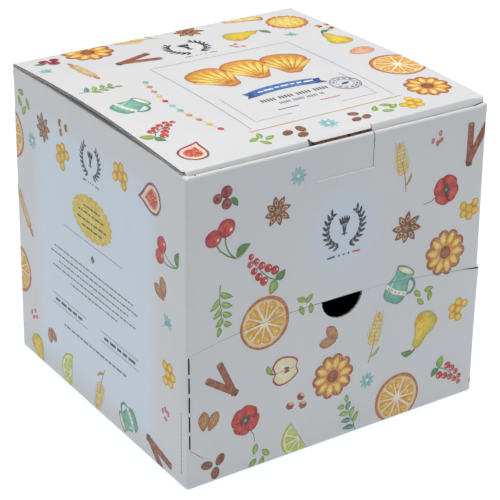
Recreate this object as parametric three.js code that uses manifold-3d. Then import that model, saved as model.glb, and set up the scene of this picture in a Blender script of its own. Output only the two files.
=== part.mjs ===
// A shut carton folded from one blank of corrugated board, full of small cakes.
// The walls have rolled tops. The lid is bowed upwards and its side edges are cut,
// so that a slot is open under them. Its front edge curls down behind the front
// wall, except in the middle, where a cut tongue lies behind the lock flap. The
// front has a half-round thumb hole, a tear line and a slanted cut. A row of cuts
// runs down each front fold, and the right row has slipped round to the side.
// Millimetres. X runs to the right, Y to the back and Z up. The origin is in the
// middle of the foot.
import * as THREE from 'three';
import { mergeVertices } from 'three/addons/utils/BufferGeometryUtils.js';
import Module from 'manifold-3d';

const wasm = await Module();
wasm.setup();

// Driving dimensions of the walls.
const cartonWidth = 250;
const cartonDepth = 244;
const wallHeight = 230.5;
const backRise = 2.2; // how much higher the walls are at the back
const flare = 0.0093; // the foot is this share wider than the middle, the top as much narrower
const boardThickness = 2;
const uprightFoldRadius = 2;
const rolledTopRadius = 1.4;
const sideWallThickness = 5; // rolled board
const frontRidgeThickness = 3.4;

// The lid, as heights of its upper face.
const lidBackHeightLeft = 234.6;
const lidBackHeightRight = 236.2;
const lidFrontHeightLeft = 232.9;
const lidFrontHeightRight = 235.4;
const bowLeft = 4.7;
const bowRight = 2.4;
const bowPeakLeft = 0.49; // where the bow is highest, as a share of the way to the front
const bowPeakRight = 0.61;
const lidSideInset = 0.6; // of the lid's side edges from the side walls' faces
const lidCurlRadius = 1.6;
const lidCurlLeg = 5;
const lidGroove = 0.4; // between the front ridge and the lid's curl
const lidBackFoldRadius = 2;
const slotDepth = 9; // how far the open slot under the lid's side edges reaches in
const slotFloor = 226;
const lidCornerGap = 2.1; // between the curl's ends and the side walls' faces
const joinOverlap = 1; // how far pieces of the one solid run into each other
const contentsInset = 0.75; // of what fills the carton, from the open slots and the groove
const joinDip = 0.15; // how far the lid's curl and tongue dip under its board there

// The lock flap in the middle of the front wall, and the lid's tongue behind it.
const flapHalfWidth = 24;
const flapHeight = 25.3;
const flapGap = 0.8; // open cut at the flap's right end
const flapNotch = 3.2; // open corner of the lid beside the flap's left end
const notchOverlap = 0.7; // how far the notch runs on under the tongue, past the flap's end
const tongueX = -1; // middle of the tongue
const tongueHalfWidth = 24.5;
const tongueReach = 2.5; // how far it goes on past the lid's fold
const tongueDroop = 1.6;
const tongueCornerRadius = 2;

// The thumb hole and the tear line that leads to it.
const thumbHoleX = 1.4;
const thumbHoleTop = 113.8;
const thumbHoleRadius = 17.35;
const thumbHoleHeight = 16.1;
const thumbHoleDepth = 28;
const tearEndHeight = 102.9; // where the tear line reaches the front folds
const tearWidth = 0.4;
const tearPowerLeft = 2.2; // how much faster the line falls towards the folds
const tearPowerRight = 1.55;
const tearSteps = 16; // straight stretches on each side of the hole

// The rows of cuts down the front folds, and the slanted cut below the left row.
const dashCount = 5;
const dashPitch = 14.8;
const dashLength = 12;
const lastDashLength = 10.8;
const firstDashTop = 102.1;
const dashWidth = 0.8;
const dashOffset = 123.45; // from the middle of the front
const sideDashInset = 2.4; // from the right front fold, round on the side
const slantCutTop = 31.1;
const slantCutHeight = 10;
const slantCutRun = 11.2;

// Values that follow from these.
const cutDepth = boardThickness;
const topShrink = 1 - flare;
const topHalfWidth = cartonWidth / 2 * topShrink;
const topHalfDepth = cartonDepth / 2 * topShrink;
const lidHalfWidth = topHalfWidth - lidSideInset;
const curlFaceY = -topHalfDepth + frontRidgeThickness + lidGroove;
const lidFoldY = curlFaceY + lidCurlRadius;
const lidFlatDepth = topHalfDepth - lidFoldY;
const coreHalfWidth = topHalfWidth - slotDepth;
const wellAbove = wallHeight + 2 * lidCurlRadius; // well above the walls, for cuts through their tops

// How much wider the carton is at a height than in the middle.
function flareAt(z) {
  return 1 + flare * (1 - 2 * z / wallHeight);
}

// Height of the lid's upper face at a place on it.
function lidTop(x, y) {
  const across = THREE.MathUtils.clamp(x / (2 * topHalfWidth) + 0.5, 0, 1);
  const along = THREE.MathUtils.clamp((topHalfDepth - y) / lidFlatDepth, 0, 1);
  const front = THREE.MathUtils.lerp(lidFrontHeightLeft, lidFrontHeightRight, across);
  const bow = THREE.MathUtils.lerp(bowLeft, bowRight, across);
  const peak = THREE.MathUtils.lerp(bowPeakLeft, bowPeakRight, across);
  const back = THREE.MathUtils.lerp(lidBackHeightLeft, lidBackHeightRight, across);
  const level = THREE.MathUtils.lerp(back, front, along);
  return level + bow * Math.sin(Math.PI * along ** (Math.log(0.5) / Math.log(peak)));
}

// Moves each corner of a geometry to the place that a rule gives for it.
function moveCorners(geometry, rule) {
  const corners = geometry.attributes.position;
  for (let i = 0; i < corners.count; i += 1) {
    const place = rule(corners.getX(i), corners.getY(i), corners.getZ(i));
    corners.setXYZ(i, ...place);
  }
  return geometry;
}

// A closed geometry as a solid that can be joined and cut.
function solidFrom(geometry) {
  geometry.deleteAttribute('normal');
  geometry.deleteAttribute('uv');
  const merged = mergeVertices(geometry, 1e-4);
  return new wasm.Manifold(new wasm.Mesh({
    numProp: 3,
    vertProperties: new Float32Array(merged.attributes.position.array),
    triVerts: new Uint32Array(merged.index.array),
  }));
}

function boxSolid(low, high) {
  const size = high.map((value, axis) => value - low[axis]);
  const box = new THREE.BoxGeometry(...size);
  box.translate(...high.map((value, axis) => (value + low[axis]) / 2));
  return solidFrom(box);
}

// An outline in Y and Z, drawn out from one X to another.
function drawnAlongX(outline, fromX, toX, steps = 1) {
  const settings = { depth: toX - fromX, steps, bevelEnabled: false, curveSegments: 6 };
  const geometry = new THREE.ExtrudeGeometry(outline, settings);
  return moveCorners(geometry, (y, z, along) => [fromX + along, y, z]);
}

// An outline in X and Z, drawn out through the front wall to a depth behind it.
function cutIntoFront(outline, depth, curveSegments = 16) {
  const reach = cartonDepth;
  const settings = { depth: reach, bevelEnabled: false, curveSegments };
  const geometry = new THREE.ExtrudeGeometry(outline, settings);
  const rule = (x, z, along) => {
    const face = -cartonDepth / 2 * flareAt(z);
    return [x, along > 0 ? -reach : face + depth, z];
  };
  return solidFrom(moveCorners(geometry, rule));
}

// A rectangle with round corners about the middle of the plan.
function roundedRectangle(width, depth, radius) {
  const outline = new THREE.Shape();
  const x = width / 2 - radius;
  const y = depth / 2 - radius;
  outline.absarc(x, y, radius, 0, Math.PI / 2);
  outline.absarc(-x, y, radius, Math.PI / 2, Math.PI);
  outline.absarc(-x, -y, radius, Math.PI, Math.PI * 1.5);
  outline.absarc(x, -y, radius, Math.PI * 1.5, Math.PI * 2);
  return outline;
}

// The block of walls and contents, with rolled edges at the top and the foot.
function wallBlock() {
  const geometry = new THREE.ExtrudeGeometry(
    roundedRectangle(cartonWidth, cartonDepth, uprightFoldRadius),
    {
      depth: wallHeight - 2 * rolledTopRadius,
      bevelThickness: rolledTopRadius,
      bevelSize: rolledTopRadius,
      bevelOffset: -rolledTopRadius,
      bevelSegments: 4,
      curveSegments: 5,
    },
  );
  geometry.translate(0, 0, rolledTopRadius);
  const rule = (x, y, z) => {
    const rise = backRise * (y / cartonDepth + 0.5) * z / wallHeight;
    return [x * flareAt(z), y * flareAt(z), z + rise];
  };
  return solidFrom(moveCorners(geometry, rule));
}

// The open space behind the side walls' rolled tops and behind the front ridge.
function spacesUnderLid() {
  const inner = topHalfWidth - sideWallThickness;
  const front = -topHalfDepth + frontRidgeThickness;
  const back = topHalfDepth - sideWallThickness;
  const grooveBack = lidFoldY + joinOverlap;
  const space = (side, grooveEnd) => {
    const outline = new THREE.Shape([
      new THREE.Vector2(side * inner, back),
      new THREE.Vector2(side * inner, front),
      new THREE.Vector2(grooveEnd, front),
      new THREE.Vector2(grooveEnd, grooveBack),
      new THREE.Vector2(side * coreHalfWidth, grooveBack),
      new THREE.Vector2(side * coreHalfWidth, back),
    ]);
    const depth = wellAbove - slotFloor;
    const geometry = new THREE.ExtrudeGeometry(outline, { depth, bevelEnabled: false });
    geometry.translate(0, 0, slotFloor);
    return solidFrom(geometry);
  };
  return space(-1, -flapHalfWidth + notchOverlap).add(space(1, flapHalfWidth));
}

// Points from one Y to another at one height, close enough to be bent.
function levelRun(fromY, toY, z, count = 22) {
  const points = [];
  for (let i = 0; i <= count; i += 1) {
    points.push(new THREE.Vector2(THREE.MathUtils.lerp(fromY, toY, i / count), z));
  }
  return points;
}

// Lays a flat piece of the lid, drawn with its upper face at zero, on the lid's bow.
function bendToLid(geometry) {
  return solidFrom(moveCorners(geometry, (x, y, z) => [x, y, z + lidTop(x, y)]));
}

// The lid's board with the fold down to the back wall.
function lidBoard() {
  const foldStart = topHalfDepth - lidBackFoldRadius;
  const backInner = topHalfDepth - sideWallThickness;
  const backLow = -2 * boardThickness - lidBackFoldRadius;
  const front = lidFoldY + joinOverlap / 2;
  const outline = new THREE.Shape(levelRun(front, foldStart, 0));
  outline.absarc(foldStart, -lidBackFoldRadius, lidBackFoldRadius, Math.PI / 2, 0, true);
  outline.lineTo(topHalfDepth, backLow);
  outline.lineTo(backInner, backLow);
  levelRun(backInner, front, -boardThickness).forEach((p) => outline.lineTo(p.x, p.y));
  return bendToLid(drawnAlongX(outline, -lidHalfWidth, lidHalfWidth, 10));
}

// The lid's front edge, curled down into the groove between two places along it.
function lidCurl(fromX, toX) {
  const low = -lidCurlRadius - lidCurlLeg;
  const outline = new THREE.Shape();
  outline.moveTo(lidFoldY + joinOverlap, -joinDip);
  outline.lineTo(lidFoldY + joinOverlap, -boardThickness + joinDip);
  outline.lineTo(curlFaceY + boardThickness, -boardThickness + joinDip);
  outline.lineTo(curlFaceY + boardThickness, low);
  outline.lineTo(curlFaceY, low);
  outline.absarc(lidFoldY, -lidCurlRadius, lidCurlRadius, Math.PI, Math.PI / 2, true);
  return bendToLid(drawnAlongX(outline, fromX, toX, 4));
}

// What fills the carton up to the lid's underside.
function contentsUnderLid() {
  const top = -boardThickness / 2;
  const bottom = -5 * boardThickness;
  const front = lidFoldY + joinOverlap + contentsInset;
  const back = topHalfDepth - boardThickness;
  const halfWidth = coreHalfWidth - contentsInset;
  const outline = new THREE.Shape(levelRun(front, back, top));
  levelRun(back, front, bottom).forEach((p) => outline.lineTo(p.x, p.y));
  return bendToLid(drawnAlongX(outline, -halfWidth, halfWidth, 8));
}

// The lid's cut tongue, which droops on the front wall's top behind the lock flap.
function lidTongue() {
  const radius = tongueCornerRadius;
  const side = tongueHalfWidth - radius;
  const front = lidFoldY - tongueReach;
  const outline = new THREE.Shape();
  outline.moveTo(tongueX - tongueHalfWidth, lidFoldY + joinOverlap);
  outline.absarc(tongueX - side, front + radius, radius, Math.PI, Math.PI * 1.5);
  outline.absarc(tongueX + side, front + radius, radius, Math.PI * 1.5, Math.PI * 2);
  outline.lineTo(tongueX + tongueHalfWidth, lidFoldY + joinOverlap);
  const geometry = new THREE.ExtrudeGeometry(outline, { depth: 1, bevelEnabled: false, curveSegments: 6 });
  const rule = (x, y, upper) => {
    const ahead = Math.max(0, lidFoldY - y) / tongueReach;
    const dip = y > lidFoldY ? joinDip : tongueDroop * ahead ** 2;
    return [x, y, upper > 0 ? lidTop(x, lidFoldY) - dip : wallHeight - boardThickness];
  };
  return solidFrom(moveCorners(geometry, rule));
}

// The open cut at the right end of the lock flap.
function flapCut() {
  const low = wallHeight - flapHeight;
  const depth = frontRidgeThickness + lidGroove / 2;
  return boxSolid(
    [flapHalfWidth, -cartonDepth, low],
    [flapHalfWidth + flapGap, -topHalfDepth + depth, wellAbove],
  );
}

// The half-round thumb hole, flat at the top.
function thumbHole() {
  const outline = new THREE.Shape();
  const squash = thumbHoleHeight / thumbHoleRadius;
  outline.absarc(0, 0, thumbHoleRadius, Math.PI, Math.PI * 2);
  const points = outline.getPoints(24);
  const placed = points.map((p) => new THREE.Vector2(thumbHoleX + p.x, thumbHoleTop + p.y * squash));
  return cutIntoFront(new THREE.Shape(placed), thumbHoleDepth);
}

// Height of the tear line at a place across the front.
function tearHeight(x) {
  const run = cartonWidth / 2 - thumbHoleRadius;
  const share = Math.max(0, Math.abs(x - thumbHoleX) - thumbHoleRadius) / run;
  const power = x < thumbHoleX ? tearPowerLeft : tearPowerRight;
  return thumbHoleTop - (thumbHoleTop - tearEndHeight) * share ** power;
}

// A narrow cut along the tear line, from the thumb hole to the fold on one side.
function tearCut(side) {
  const ends = [
    thumbHoleX + side * (thumbHoleRadius - joinOverlap),
    side * cartonWidth / 2 * flareAt(tearEndHeight),
  ].sort((a, b) => a - b);
  const strip = new THREE.BoxGeometry(1, 1, 1, tearSteps, 1, 1);
  const rule = (across, inwards, upwards) => {
    const x = THREE.MathUtils.lerp(ends[0], ends[1], across + 0.5);
    const z = tearHeight(x) + (upwards - 0.5) * tearWidth;
    const face = -cartonDepth / 2 * flareAt(z);
    return [x, inwards < 0 ? -cartonDepth : face + cutDepth / 2, z];
  };
  return solidFrom(moveCorners(strip, rule));
}

// A slot in the front, given by a place at its upper end, a run and a fall.
function slotOutline(x, z, run, fall, width) {
  const long = Math.hypot(run, fall);
  const acrossX = fall / long * width / 2;
  const acrossZ = run / long * width / 2;
  return new THREE.Shape([
    new THREE.Vector2(x - acrossX, z - acrossZ),
    new THREE.Vector2(x + run - acrossX, z - fall - acrossZ),
    new THREE.Vector2(x + run + acrossX, z - fall + acrossZ),
    new THREE.Vector2(x + acrossX, z + acrossZ),
  ]);
}

// Upper ends and lengths of the cuts in one row.
function dashes() {
  const rows = [];
  for (let i = 0; i < dashCount; i += 1) {
    const length = i < dashCount - 1 ? dashLength : lastDashLength;
    rows.push({ top: firstDashTop - i * dashPitch, length });
  }
  return rows;
}

// The row of cuts down the left front fold, with the slanted cut below it.
function leftFoldCuts() {
  const cut = (top, run, fall, width) => {
    return cutIntoFront(slotOutline(-dashOffset, top, run, fall, width), cutDepth);
  };
  const row = dashes().map(({ top, length }) => cut(top, 0, length, dashWidth));
  return [...row, cut(slantCutTop, slantCutRun, slantCutHeight, tearWidth)];
}

// The row of cuts that has slipped round the right front fold to the side.
function rightFoldCuts() {
  return dashes().map(({ top, length }) => {
    const face = cartonWidth / 2 * flareAt(top);
    const front = -cartonDepth / 2 * flareAt(top) + sideDashInset;
    return boxSolid([face - cutDepth, front, top - length], [cartonWidth, front + dashWidth, top]);
  });
}

function cartonSolid() {
  let carton = wallBlock().subtract(spacesUnderLid());
  const added = [
    lidBoard(),
    contentsUnderLid(),
    lidCurl(-topHalfWidth + lidCornerGap, -flapHalfWidth - flapNotch),
    lidCurl(flapHalfWidth + flapGap, topHalfWidth - lidCornerGap),
    lidTongue(),
  ];
  added.forEach((piece) => { carton = carton.add(piece); });
  const removed = [
    flapCut(),
    thumbHole(),
    tearCut(-1),
    tearCut(1),
    ...leftFoldCuts(),
    ...rightFoldCuts(),
  ];
  removed.forEach((piece) => { carton = carton.subtract(piece); });
  return carton;
}

// A joined solid as a geometry with its own normals.
function geometryFrom(solid) {
  const mesh = solid.getMesh();
  const geometry = new THREE.BufferGeometry();
  geometry.setAttribute('position', new THREE.BufferAttribute(new Float32Array(mesh.vertProperties), 3));
  geometry.setIndex(new THREE.BufferAttribute(new Uint32Array(mesh.triVerts), 1));
  geometry.computeVertexNormals();
  return geometry;
}

const printedBoard = new THREE.MeshStandardMaterial({ color: 0xe4e5e7, roughness: 0.5, metalness: 0 });
const cartonMesh = new THREE.Mesh(geometryFrom(cartonSolid()), printedBoard);
cartonMesh.name = 'carton';

const part = new THREE.Group();
part.add(cartonMesh);

export default part;
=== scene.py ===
import math
import random

import bmesh
import bpy
from mathutils import Matrix, Vector, noise


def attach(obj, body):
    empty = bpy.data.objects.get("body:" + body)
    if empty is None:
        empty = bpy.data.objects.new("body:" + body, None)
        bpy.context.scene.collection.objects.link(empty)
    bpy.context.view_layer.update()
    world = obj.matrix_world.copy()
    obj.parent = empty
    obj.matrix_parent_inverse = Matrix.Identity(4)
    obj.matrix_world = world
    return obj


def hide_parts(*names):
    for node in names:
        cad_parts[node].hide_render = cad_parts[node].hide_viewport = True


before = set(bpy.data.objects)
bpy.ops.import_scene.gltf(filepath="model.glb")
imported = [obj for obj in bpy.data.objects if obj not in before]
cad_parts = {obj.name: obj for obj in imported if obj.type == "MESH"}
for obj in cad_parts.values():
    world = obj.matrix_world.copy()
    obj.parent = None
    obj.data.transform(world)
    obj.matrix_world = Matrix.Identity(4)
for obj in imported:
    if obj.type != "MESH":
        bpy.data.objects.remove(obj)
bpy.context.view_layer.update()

MM = 0.001
BODY = "root"
NODE = "carton"


# Driving dimensions in millimetres, the same as those of the solid

WIDTH = 250
DEPTH = 244
WALL_HEIGHT = 230.5
BACK_RISE = 2.2
SIDE_RISE = 1.4
CORNER_RISE = 1.2  # of the right front corner
FLARE = 0.0093
BOARD = 2
FOLD_RADIUS = 2
FOOT_ROLL_RADIUS = 1.4
TOP_ROLL_RADIUS = 2.5
TOP_BULGE = 0.35  # how far the rolled tops stand out from the walls
SIDE_THICKNESS = 5
RIDGE_THICKNESS = 3.4

LID_BACK_HEIGHT_LEFT = 234.6
LID_BACK_HEIGHT_RIGHT = 236.2
LID_FRONT_HEIGHT_LEFT = 232.9
LID_FRONT_HEIGHT_RIGHT = 235.4
BOW_LEFT = 4.7
BOW_RIGHT = 2.4
BOW_PEAK_LEFT = 0.49
BOW_PEAK_RIGHT = 0.61
LID_SIDE_INSET = 0.6
CURL_RADIUS = 1.6
CURL_INNER_RADIUS = 0.3
CURL_TURN = math.radians(66)  # the curl stops short of upright, so that it leans on the front ridge
CURL_LEG_LEFT = 2
CURL_LEG_RIGHT = 4.6
LID_GROOVE = 0.4
LID_BACK_RADIUS = 2
LID_BACK_LEG = 4
SLOT_DEPTH = 7
SLOT_FLOOR = 226.8
LID_CORNER_GAP = 2.1

FLAP_HALF_WIDTH = 24
FLAP_HEIGHT = 25.3
FLAP_GAP = 0.8
FLAP_NOTCH = 3.2
TONGUE_X = -0.6
TONGUE_HALF_WIDTH = 24.9
TONGUE_REACH = 2.5
TONGUE_DROOP_LEFT = 1.6
TONGUE_DROOP_RIGHT = 2
TONGUE_CORNER = 2

HOLE_X = 1.4
HOLE_TOP = 113.8
HOLE_RADIUS = 17.35
HOLE_HEIGHT = 16.1
HOLE_DEPTH = 28
HOLE_TOOTH = 0.14
HOLE_EDGE = 1.5  # how deep light reaches onto the rim
TEAR_END = 102.9
TEAR_WIDTH = 0.3
TEAR_CLOSED_WIDTH = 0.1
TEAR_OPEN_WIDTH = 0.8
TEAR_POWER_LEFT = 2.2
TEAR_POWER_RIGHT = 1.55

DASH_COUNT = 5
DASH_PITCH = 14.8
DASH_LENGTH = 12
LAST_DASH_LENGTH = 10.8
FIRST_DASH_TOP = 102.1
DASH_WIDTH = 1.1
DASH_OFFSET = 123.45
SIDE_DASH_INSET = 2.4
CORNER_SLIT_WIDTH = 0.7
CORNER_SLITS = ((-119.5, 1.6), (-117, 1.2))  # left end and length
SLANT_TOP = 31.1
SLANT_HEIGHT = 10
SLANT_RUN = 11.2

# Values that follow from these
PRINT_LOW = 1.2
PRINT_HIGH = WALL_HEIGHT - TOP_ROLL_RADIUS
TOP_HALF_WIDTH = WIDTH / 2 * (1 - FLARE)
TOP_HALF_DEPTH = DEPTH / 2 * (1 - FLARE)
LID_HALF_WIDTH = TOP_HALF_WIDTH - LID_SIDE_INSET
CURL_FACE_Y = -TOP_HALF_DEPTH + RIDGE_THICKNESS + LID_GROOVE
LID_FOLD_Y = CURL_FACE_Y + CURL_RADIUS
LID_FLAT = TOP_HALF_DEPTH - LID_FOLD_Y


def mix(a, b, share):
    return a + (b - a) * share


def clamp(value, low=0, high=1):
    return max(low, min(high, value))


def smooth(value, start=0, end=1):
    share = clamp((value - start) / (end - start))
    return share * share * (3 - 2 * share)


def steps(low, high, count):
    return [mix(low, high, i / count) for i in range(count + 1)]


def flare_at(z):
    return 1 + FLARE * (1 - 2 * z / WALL_HEIGHT)


def front_face(z):
    return -DEPTH / 2 * flare_at(z)


def lid_top(x, y):
    """Height of the lid's upper face."""
    across = clamp(x / (2 * TOP_HALF_WIDTH) + 0.5)
    along = clamp((TOP_HALF_DEPTH - y) / LID_FLAT)
    front = mix(LID_FRONT_HEIGHT_LEFT, LID_FRONT_HEIGHT_RIGHT, across)
    bow = mix(BOW_LEFT, BOW_RIGHT, across)
    peak = mix(BOW_PEAK_LEFT, BOW_PEAK_RIGHT, across)
    back = mix(LID_BACK_HEIGHT_LEFT, LID_BACK_HEIGHT_RIGHT, across)
    level = mix(back, front, along)
    return level + bow * math.sin(math.pi * along ** (math.log(0.5) / math.log(peak)))


def tear_height(x):
    run = WIDTH / 2 - HOLE_RADIUS
    share = max(0, abs(x - HOLE_X) - HOLE_RADIUS) / run
    power = TEAR_POWER_LEFT if x < HOLE_X else TEAR_POWER_RIGHT
    return HOLE_TOP - (HOLE_TOP - TEAR_END) * share ** power


def tear_gap(x):
    """The tear line is nearly closed towards the folds, but torn open at the right fold."""
    if x < HOLE_X:
        return mix(TEAR_CLOSED_WIDTH, TEAR_WIDTH, smooth(x, -WIDTH / 2, -WIDTH / 4))
    opened = smooth(x, WIDTH / 9, WIDTH / 5) * (1 - smooth(x, WIDTH / 5, 0.44 * WIDTH))
    gap = mix(TEAR_CLOSED_WIDTH, TEAR_WIDTH, opened / 3)
    return gap + TEAR_OPEN_WIDTH * smooth(x, 0.435 * WIDTH, 0.485 * WIDTH)


# How the filled carton has settled: soft dents in its walls, and the right front
# fold standing out below the tear line

DENT_DEPTH = 0.4
DENT_LENGTH = 95
FOLD_SPREAD = 1.4
FOLD_SPREAD_REACH = 70


def settled(point):
    x, y, z = point
    side = abs(x) / (WIDTH / 2)
    front = abs(y) / (DEPTH / 2)
    height = math.sqrt(max(0, math.sin(math.pi * clamp(z / WALL_HEIGHT))))
    dent = DENT_DEPTH * noise.noise(Vector(point) / DENT_LENGTH + Vector((7, 3, 1))) * height
    dx = math.copysign(dent * side ** 8 * max(0, 1 - front ** 8), x)
    dy = math.copysign(dent * front ** 8 * max(0, 1 - side ** 8), y)
    if x > 0 and y < 0:
        from_front = max(0, y + DEPTH / 2 - FOLD_RADIUS)
        from_side = max(0, WIDTH / 2 - FOLD_RADIUS - x)
        step = TEAR_WIDTH / 2 + from_front * 0.6
        below = smooth(tear_height(min(x, WIDTH / 2)) - z, -step, step)
        spread = FOLD_SPREAD * below * (z / TEAR_END) ** 2
        spread *= smooth(FOLD_SPREAD_REACH - from_front - from_side, 0, FOLD_SPREAD_REACH)
        dx += spread * side ** 2
        dy -= spread * 0.35 * front ** 2
    return Vector((x + dx, y + dy, z))


# Meshes from points in millimetres


def mesh_from(name, points, faces, face_materials=None, clean=True):
    mesh = bpy.data.meshes.new(name)
    mesh.from_pydata([Vector(p) * MM for p in points], [], faces)
    if face_materials:
        mesh.polygons.foreach_set("material_index", face_materials)
    if clean:
        work = bmesh.new()
        work.from_mesh(mesh)
        bmesh.ops.remove_doubles(work, verts=work.verts, dist=0.0005 * MM)
        bmesh.ops.recalc_face_normals(work, faces=work.faces)
        work.to_mesh(mesh)
        work.free()
    return mesh


def piece_from(name, mesh, slot, *materials, sharp_angle=38):
    """A piece of the carton, shaded smooth except at its edges."""
    for material in materials:
        mesh.materials.append(material)
    mesh.polygons.foreach_set("use_smooth", [True] * len(mesh.polygons))
    mesh.set_sharp_from_angle(angle=math.radians(sharp_angle))
    piece = bpy.data.objects.new(name, mesh)
    bpy.context.scene.collection.objects.link(piece)
    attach(piece, BODY)
    return piece


# Node materials


class Nodes:
    """A material with its node tree, and short calls that add and link nodes."""

    def __init__(self, name):
        self.material = bpy.data.materials.new(name)
        self.material.use_nodes = True
        self.tree = self.material.node_tree
        self.shader = self.tree.nodes["Principled BSDF"]

    def add(self, kind, settings=None, **inputs):
        node = self.tree.nodes.new("ShaderNode" + kind)
        for key, value in (settings or {}).items():
            setattr(node, key, value)
        for key, value in inputs.items():
            place = int(key[1:]) if key[0] == "i" and key[1:].isdigit() else key.replace("_", " ")
            self.put(value, node.inputs[place])
        return node

    def put(self, value, socket):
        if isinstance(value, bpy.types.NodeSocket):
            self.tree.links.new(value, socket)
        else:
            socket.default_value = value

    def maths(self, kind, a, b=0.0, use_clamp=False):
        settings = {"operation": kind, "use_clamp": use_clamp}
        return self.add("Math", settings, i0=a, i1=b).outputs[0]

    def noise(self, place, scale, detail=3.0, rough=0.55):
        return self.add("TexNoise", None, Vector=place, Scale=scale, Detail=detail, Roughness=rough).outputs["Fac"]

    def ramp(self, value, low, high, to_low=0.0, to_high=1.0):
        settings = {"interpolation_type": "SMOOTHSTEP", "clamp": True}
        node = self.add("MapRange", settings, i0=value, i1=low, i2=high, i3=to_low, i4=to_high)
        return node.outputs[0]

    def blend(self, share, a, b):
        node = self.add("Mix", {"data_type": "RGBA"})
        self.put(share, node.inputs["Factor"])
        self.put(a, node.inputs["A"])
        self.put(b, node.inputs["B"])
        return node.outputs["Result"]

    def axes(self):
        place = self.add("TexCoord").outputs["Object"]
        parts = self.add("SeparateXYZ", None, Vector=place).outputs
        return place, parts[0], parts[1], parts[2]

    def bump(self, height, distance, strength=1.0):
        node = self.add("Bump", None, Height=height, Distance=distance, Strength=strength)
        self.put(node.outputs["Normal"], self.shader.inputs["Normal"])

    def finish(self, color, roughness, specular=0.5):
        self.put(color, self.shader.inputs["Base Color"])
        self.put(roughness, self.shader.inputs["Roughness"])
        self.shader.inputs["Specular IOR Level"].default_value = specular
        return self.material


def linear(red, green, blue):
    """A colour given as 0 to 255 in sRGB."""
    def one(value):
        value /= 255
        return value / 12.92 if value <= 0.04045 else ((value + 0.055) / 1.055) ** 2.4
    return one(red), one(green), one(blue), 1.0


BOARD_WHITE = linear(217, 217, 218)
BOARD_SHADE = linear(213, 214, 216)
FIELD_BLUE = linear(214, 224, 234)
GLOW_BLUE = linear(210, 219, 231)
FIBRE = linear(236, 236, 234)
RAW_PALE = linear(232, 230, 227)
RAW_DEEP = linear(192, 188, 183)

FIELD_FRONT = 42  # clear of the fields, from the front fold
FIELD_BACK = 33
FIELD_SOFT = 9
GLOW_X = 1.5
GLOW_Z = 162.7
GLOW_HALF_WIDTH = 33
GLOW_HALF_HEIGHT = 36.5


def paper_height(nodes, place):
    """Fine fibres and a faint washboard over the flutes, as a bump height."""
    fibres = nodes.noise(place, 1400.0, 2.0)
    ripple = nodes.noise(place, 60.0, 2.0)
    return nodes.maths("ADD", nodes.maths("MULTIPLY", fibres, 0.25), ripple)


def printed_board():
    nodes = Nodes("printed_board")
    place, x, y, z = nodes.axes()
    color = nodes.blend(nodes.ramp(nodes.noise(place, 9.0), 0.35, 0.65), BOARD_WHITE, BOARD_SHADE)
    # Pale blue fields on the two side walls, with soft edges
    side = nodes.maths("GREATER_THAN", nodes.maths("ABSOLUTE", x), (WIDTH / 2 - 3.5) * MM)
    start = (-DEPTH / 2 + FIELD_FRONT) * MM
    end = (DEPTH / 2 - FIELD_BACK) * MM
    soft = FIELD_SOFT * MM
    field = nodes.maths("MULTIPLY", nodes.ramp(y, start - soft, start + soft), nodes.ramp(y, end + soft, end - soft))
    low = nodes.ramp(z, 4 * MM, 26 * MM)
    high = nodes.ramp(z, (WALL_HEIGHT - 6) * MM, (WALL_HEIGHT - 40) * MM)
    field = nodes.maths("MULTIPLY", field, nodes.maths("MULTIPLY", low, high))
    color = nodes.blend(nodes.maths("MULTIPLY", field, side), color, FIELD_BLUE)
    # A pale glow in the middle of the front and of the back
    across = nodes.maths("DIVIDE", nodes.maths("SUBTRACT", x, GLOW_X * MM), GLOW_HALF_WIDTH * MM)
    upwards = nodes.maths("DIVIDE", nodes.maths("SUBTRACT", z, GLOW_Z * MM), GLOW_HALF_HEIGHT * MM)
    squares = nodes.maths("ADD", nodes.maths("POWER", nodes.maths("ABSOLUTE", across), 2.0),
                          nodes.maths("POWER", nodes.maths("ABSOLUTE", upwards), 2.0))
    glow = nodes.ramp(nodes.maths("SQRT", squares), 1.25, 0.4)
    wall = nodes.maths("GREATER_THAN", nodes.maths("ABSOLUTE", y), (DEPTH / 2 - 3.5) * MM)
    color = nodes.blend(nodes.maths("MULTIPLY", glow, wall), color, GLOW_BLUE)
    # Worn fibres along the upright folds
    grown = nodes.maths("ADD", 1.0 + FLARE, nodes.maths("MULTIPLY", z, -2 * FLARE / (WALL_HEIGHT * MM)))
    to_side = nodes.maths("SUBTRACT", WIDTH / 2 * MM, nodes.maths("DIVIDE", nodes.maths("ABSOLUTE", x), grown))
    to_front = nodes.maths("SUBTRACT", DEPTH / 2 * MM, nodes.maths("DIVIDE", nodes.maths("ABSOLUTE", y), grown))
    fold = nodes.ramp(nodes.maths("ADD", to_side, to_front), 1.9 * MM, 1.1 * MM)
    worn = nodes.maths("MULTIPLY", fold, nodes.ramp(nodes.noise(place, 160.0), 0.42, 0.62))
    color = nodes.blend(nodes.maths("MULTIPLY", worn, 0.25), color, FIBRE)
    # Faint scuffs and dust
    scuff = nodes.ramp(nodes.noise(place, 34.0, 6.0, 0.7), 0.6, 0.78)
    color = nodes.blend(nodes.maths("MULTIPLY", scuff, 0.12), color, linear(188, 186, 182))
    rough = nodes.maths("ADD", 0.4, nodes.maths("MULTIPLY", nodes.noise(place, 45.0), 0.16))
    nodes.bump(paper_height(nodes, place), 0.00003)
    return nodes.finish(color, rough, 0.4)


def raw_board():
    nodes = Nodes("raw_board")
    place, x, y, z = nodes.axes()
    stretched = nodes.add("Mapping", None, Vector=place, Scale=(1.0, 1.0, 5.0)).outputs[0]
    color = nodes.blend(nodes.ramp(nodes.noise(stretched, 700.0, 4.0), 0.3, 0.7), RAW_DEEP, RAW_PALE)
    nodes.bump(nodes.noise(place, 1600.0, 2.0), 0.00006)
    return nodes.finish(color, 0.85, 0.2)


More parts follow.
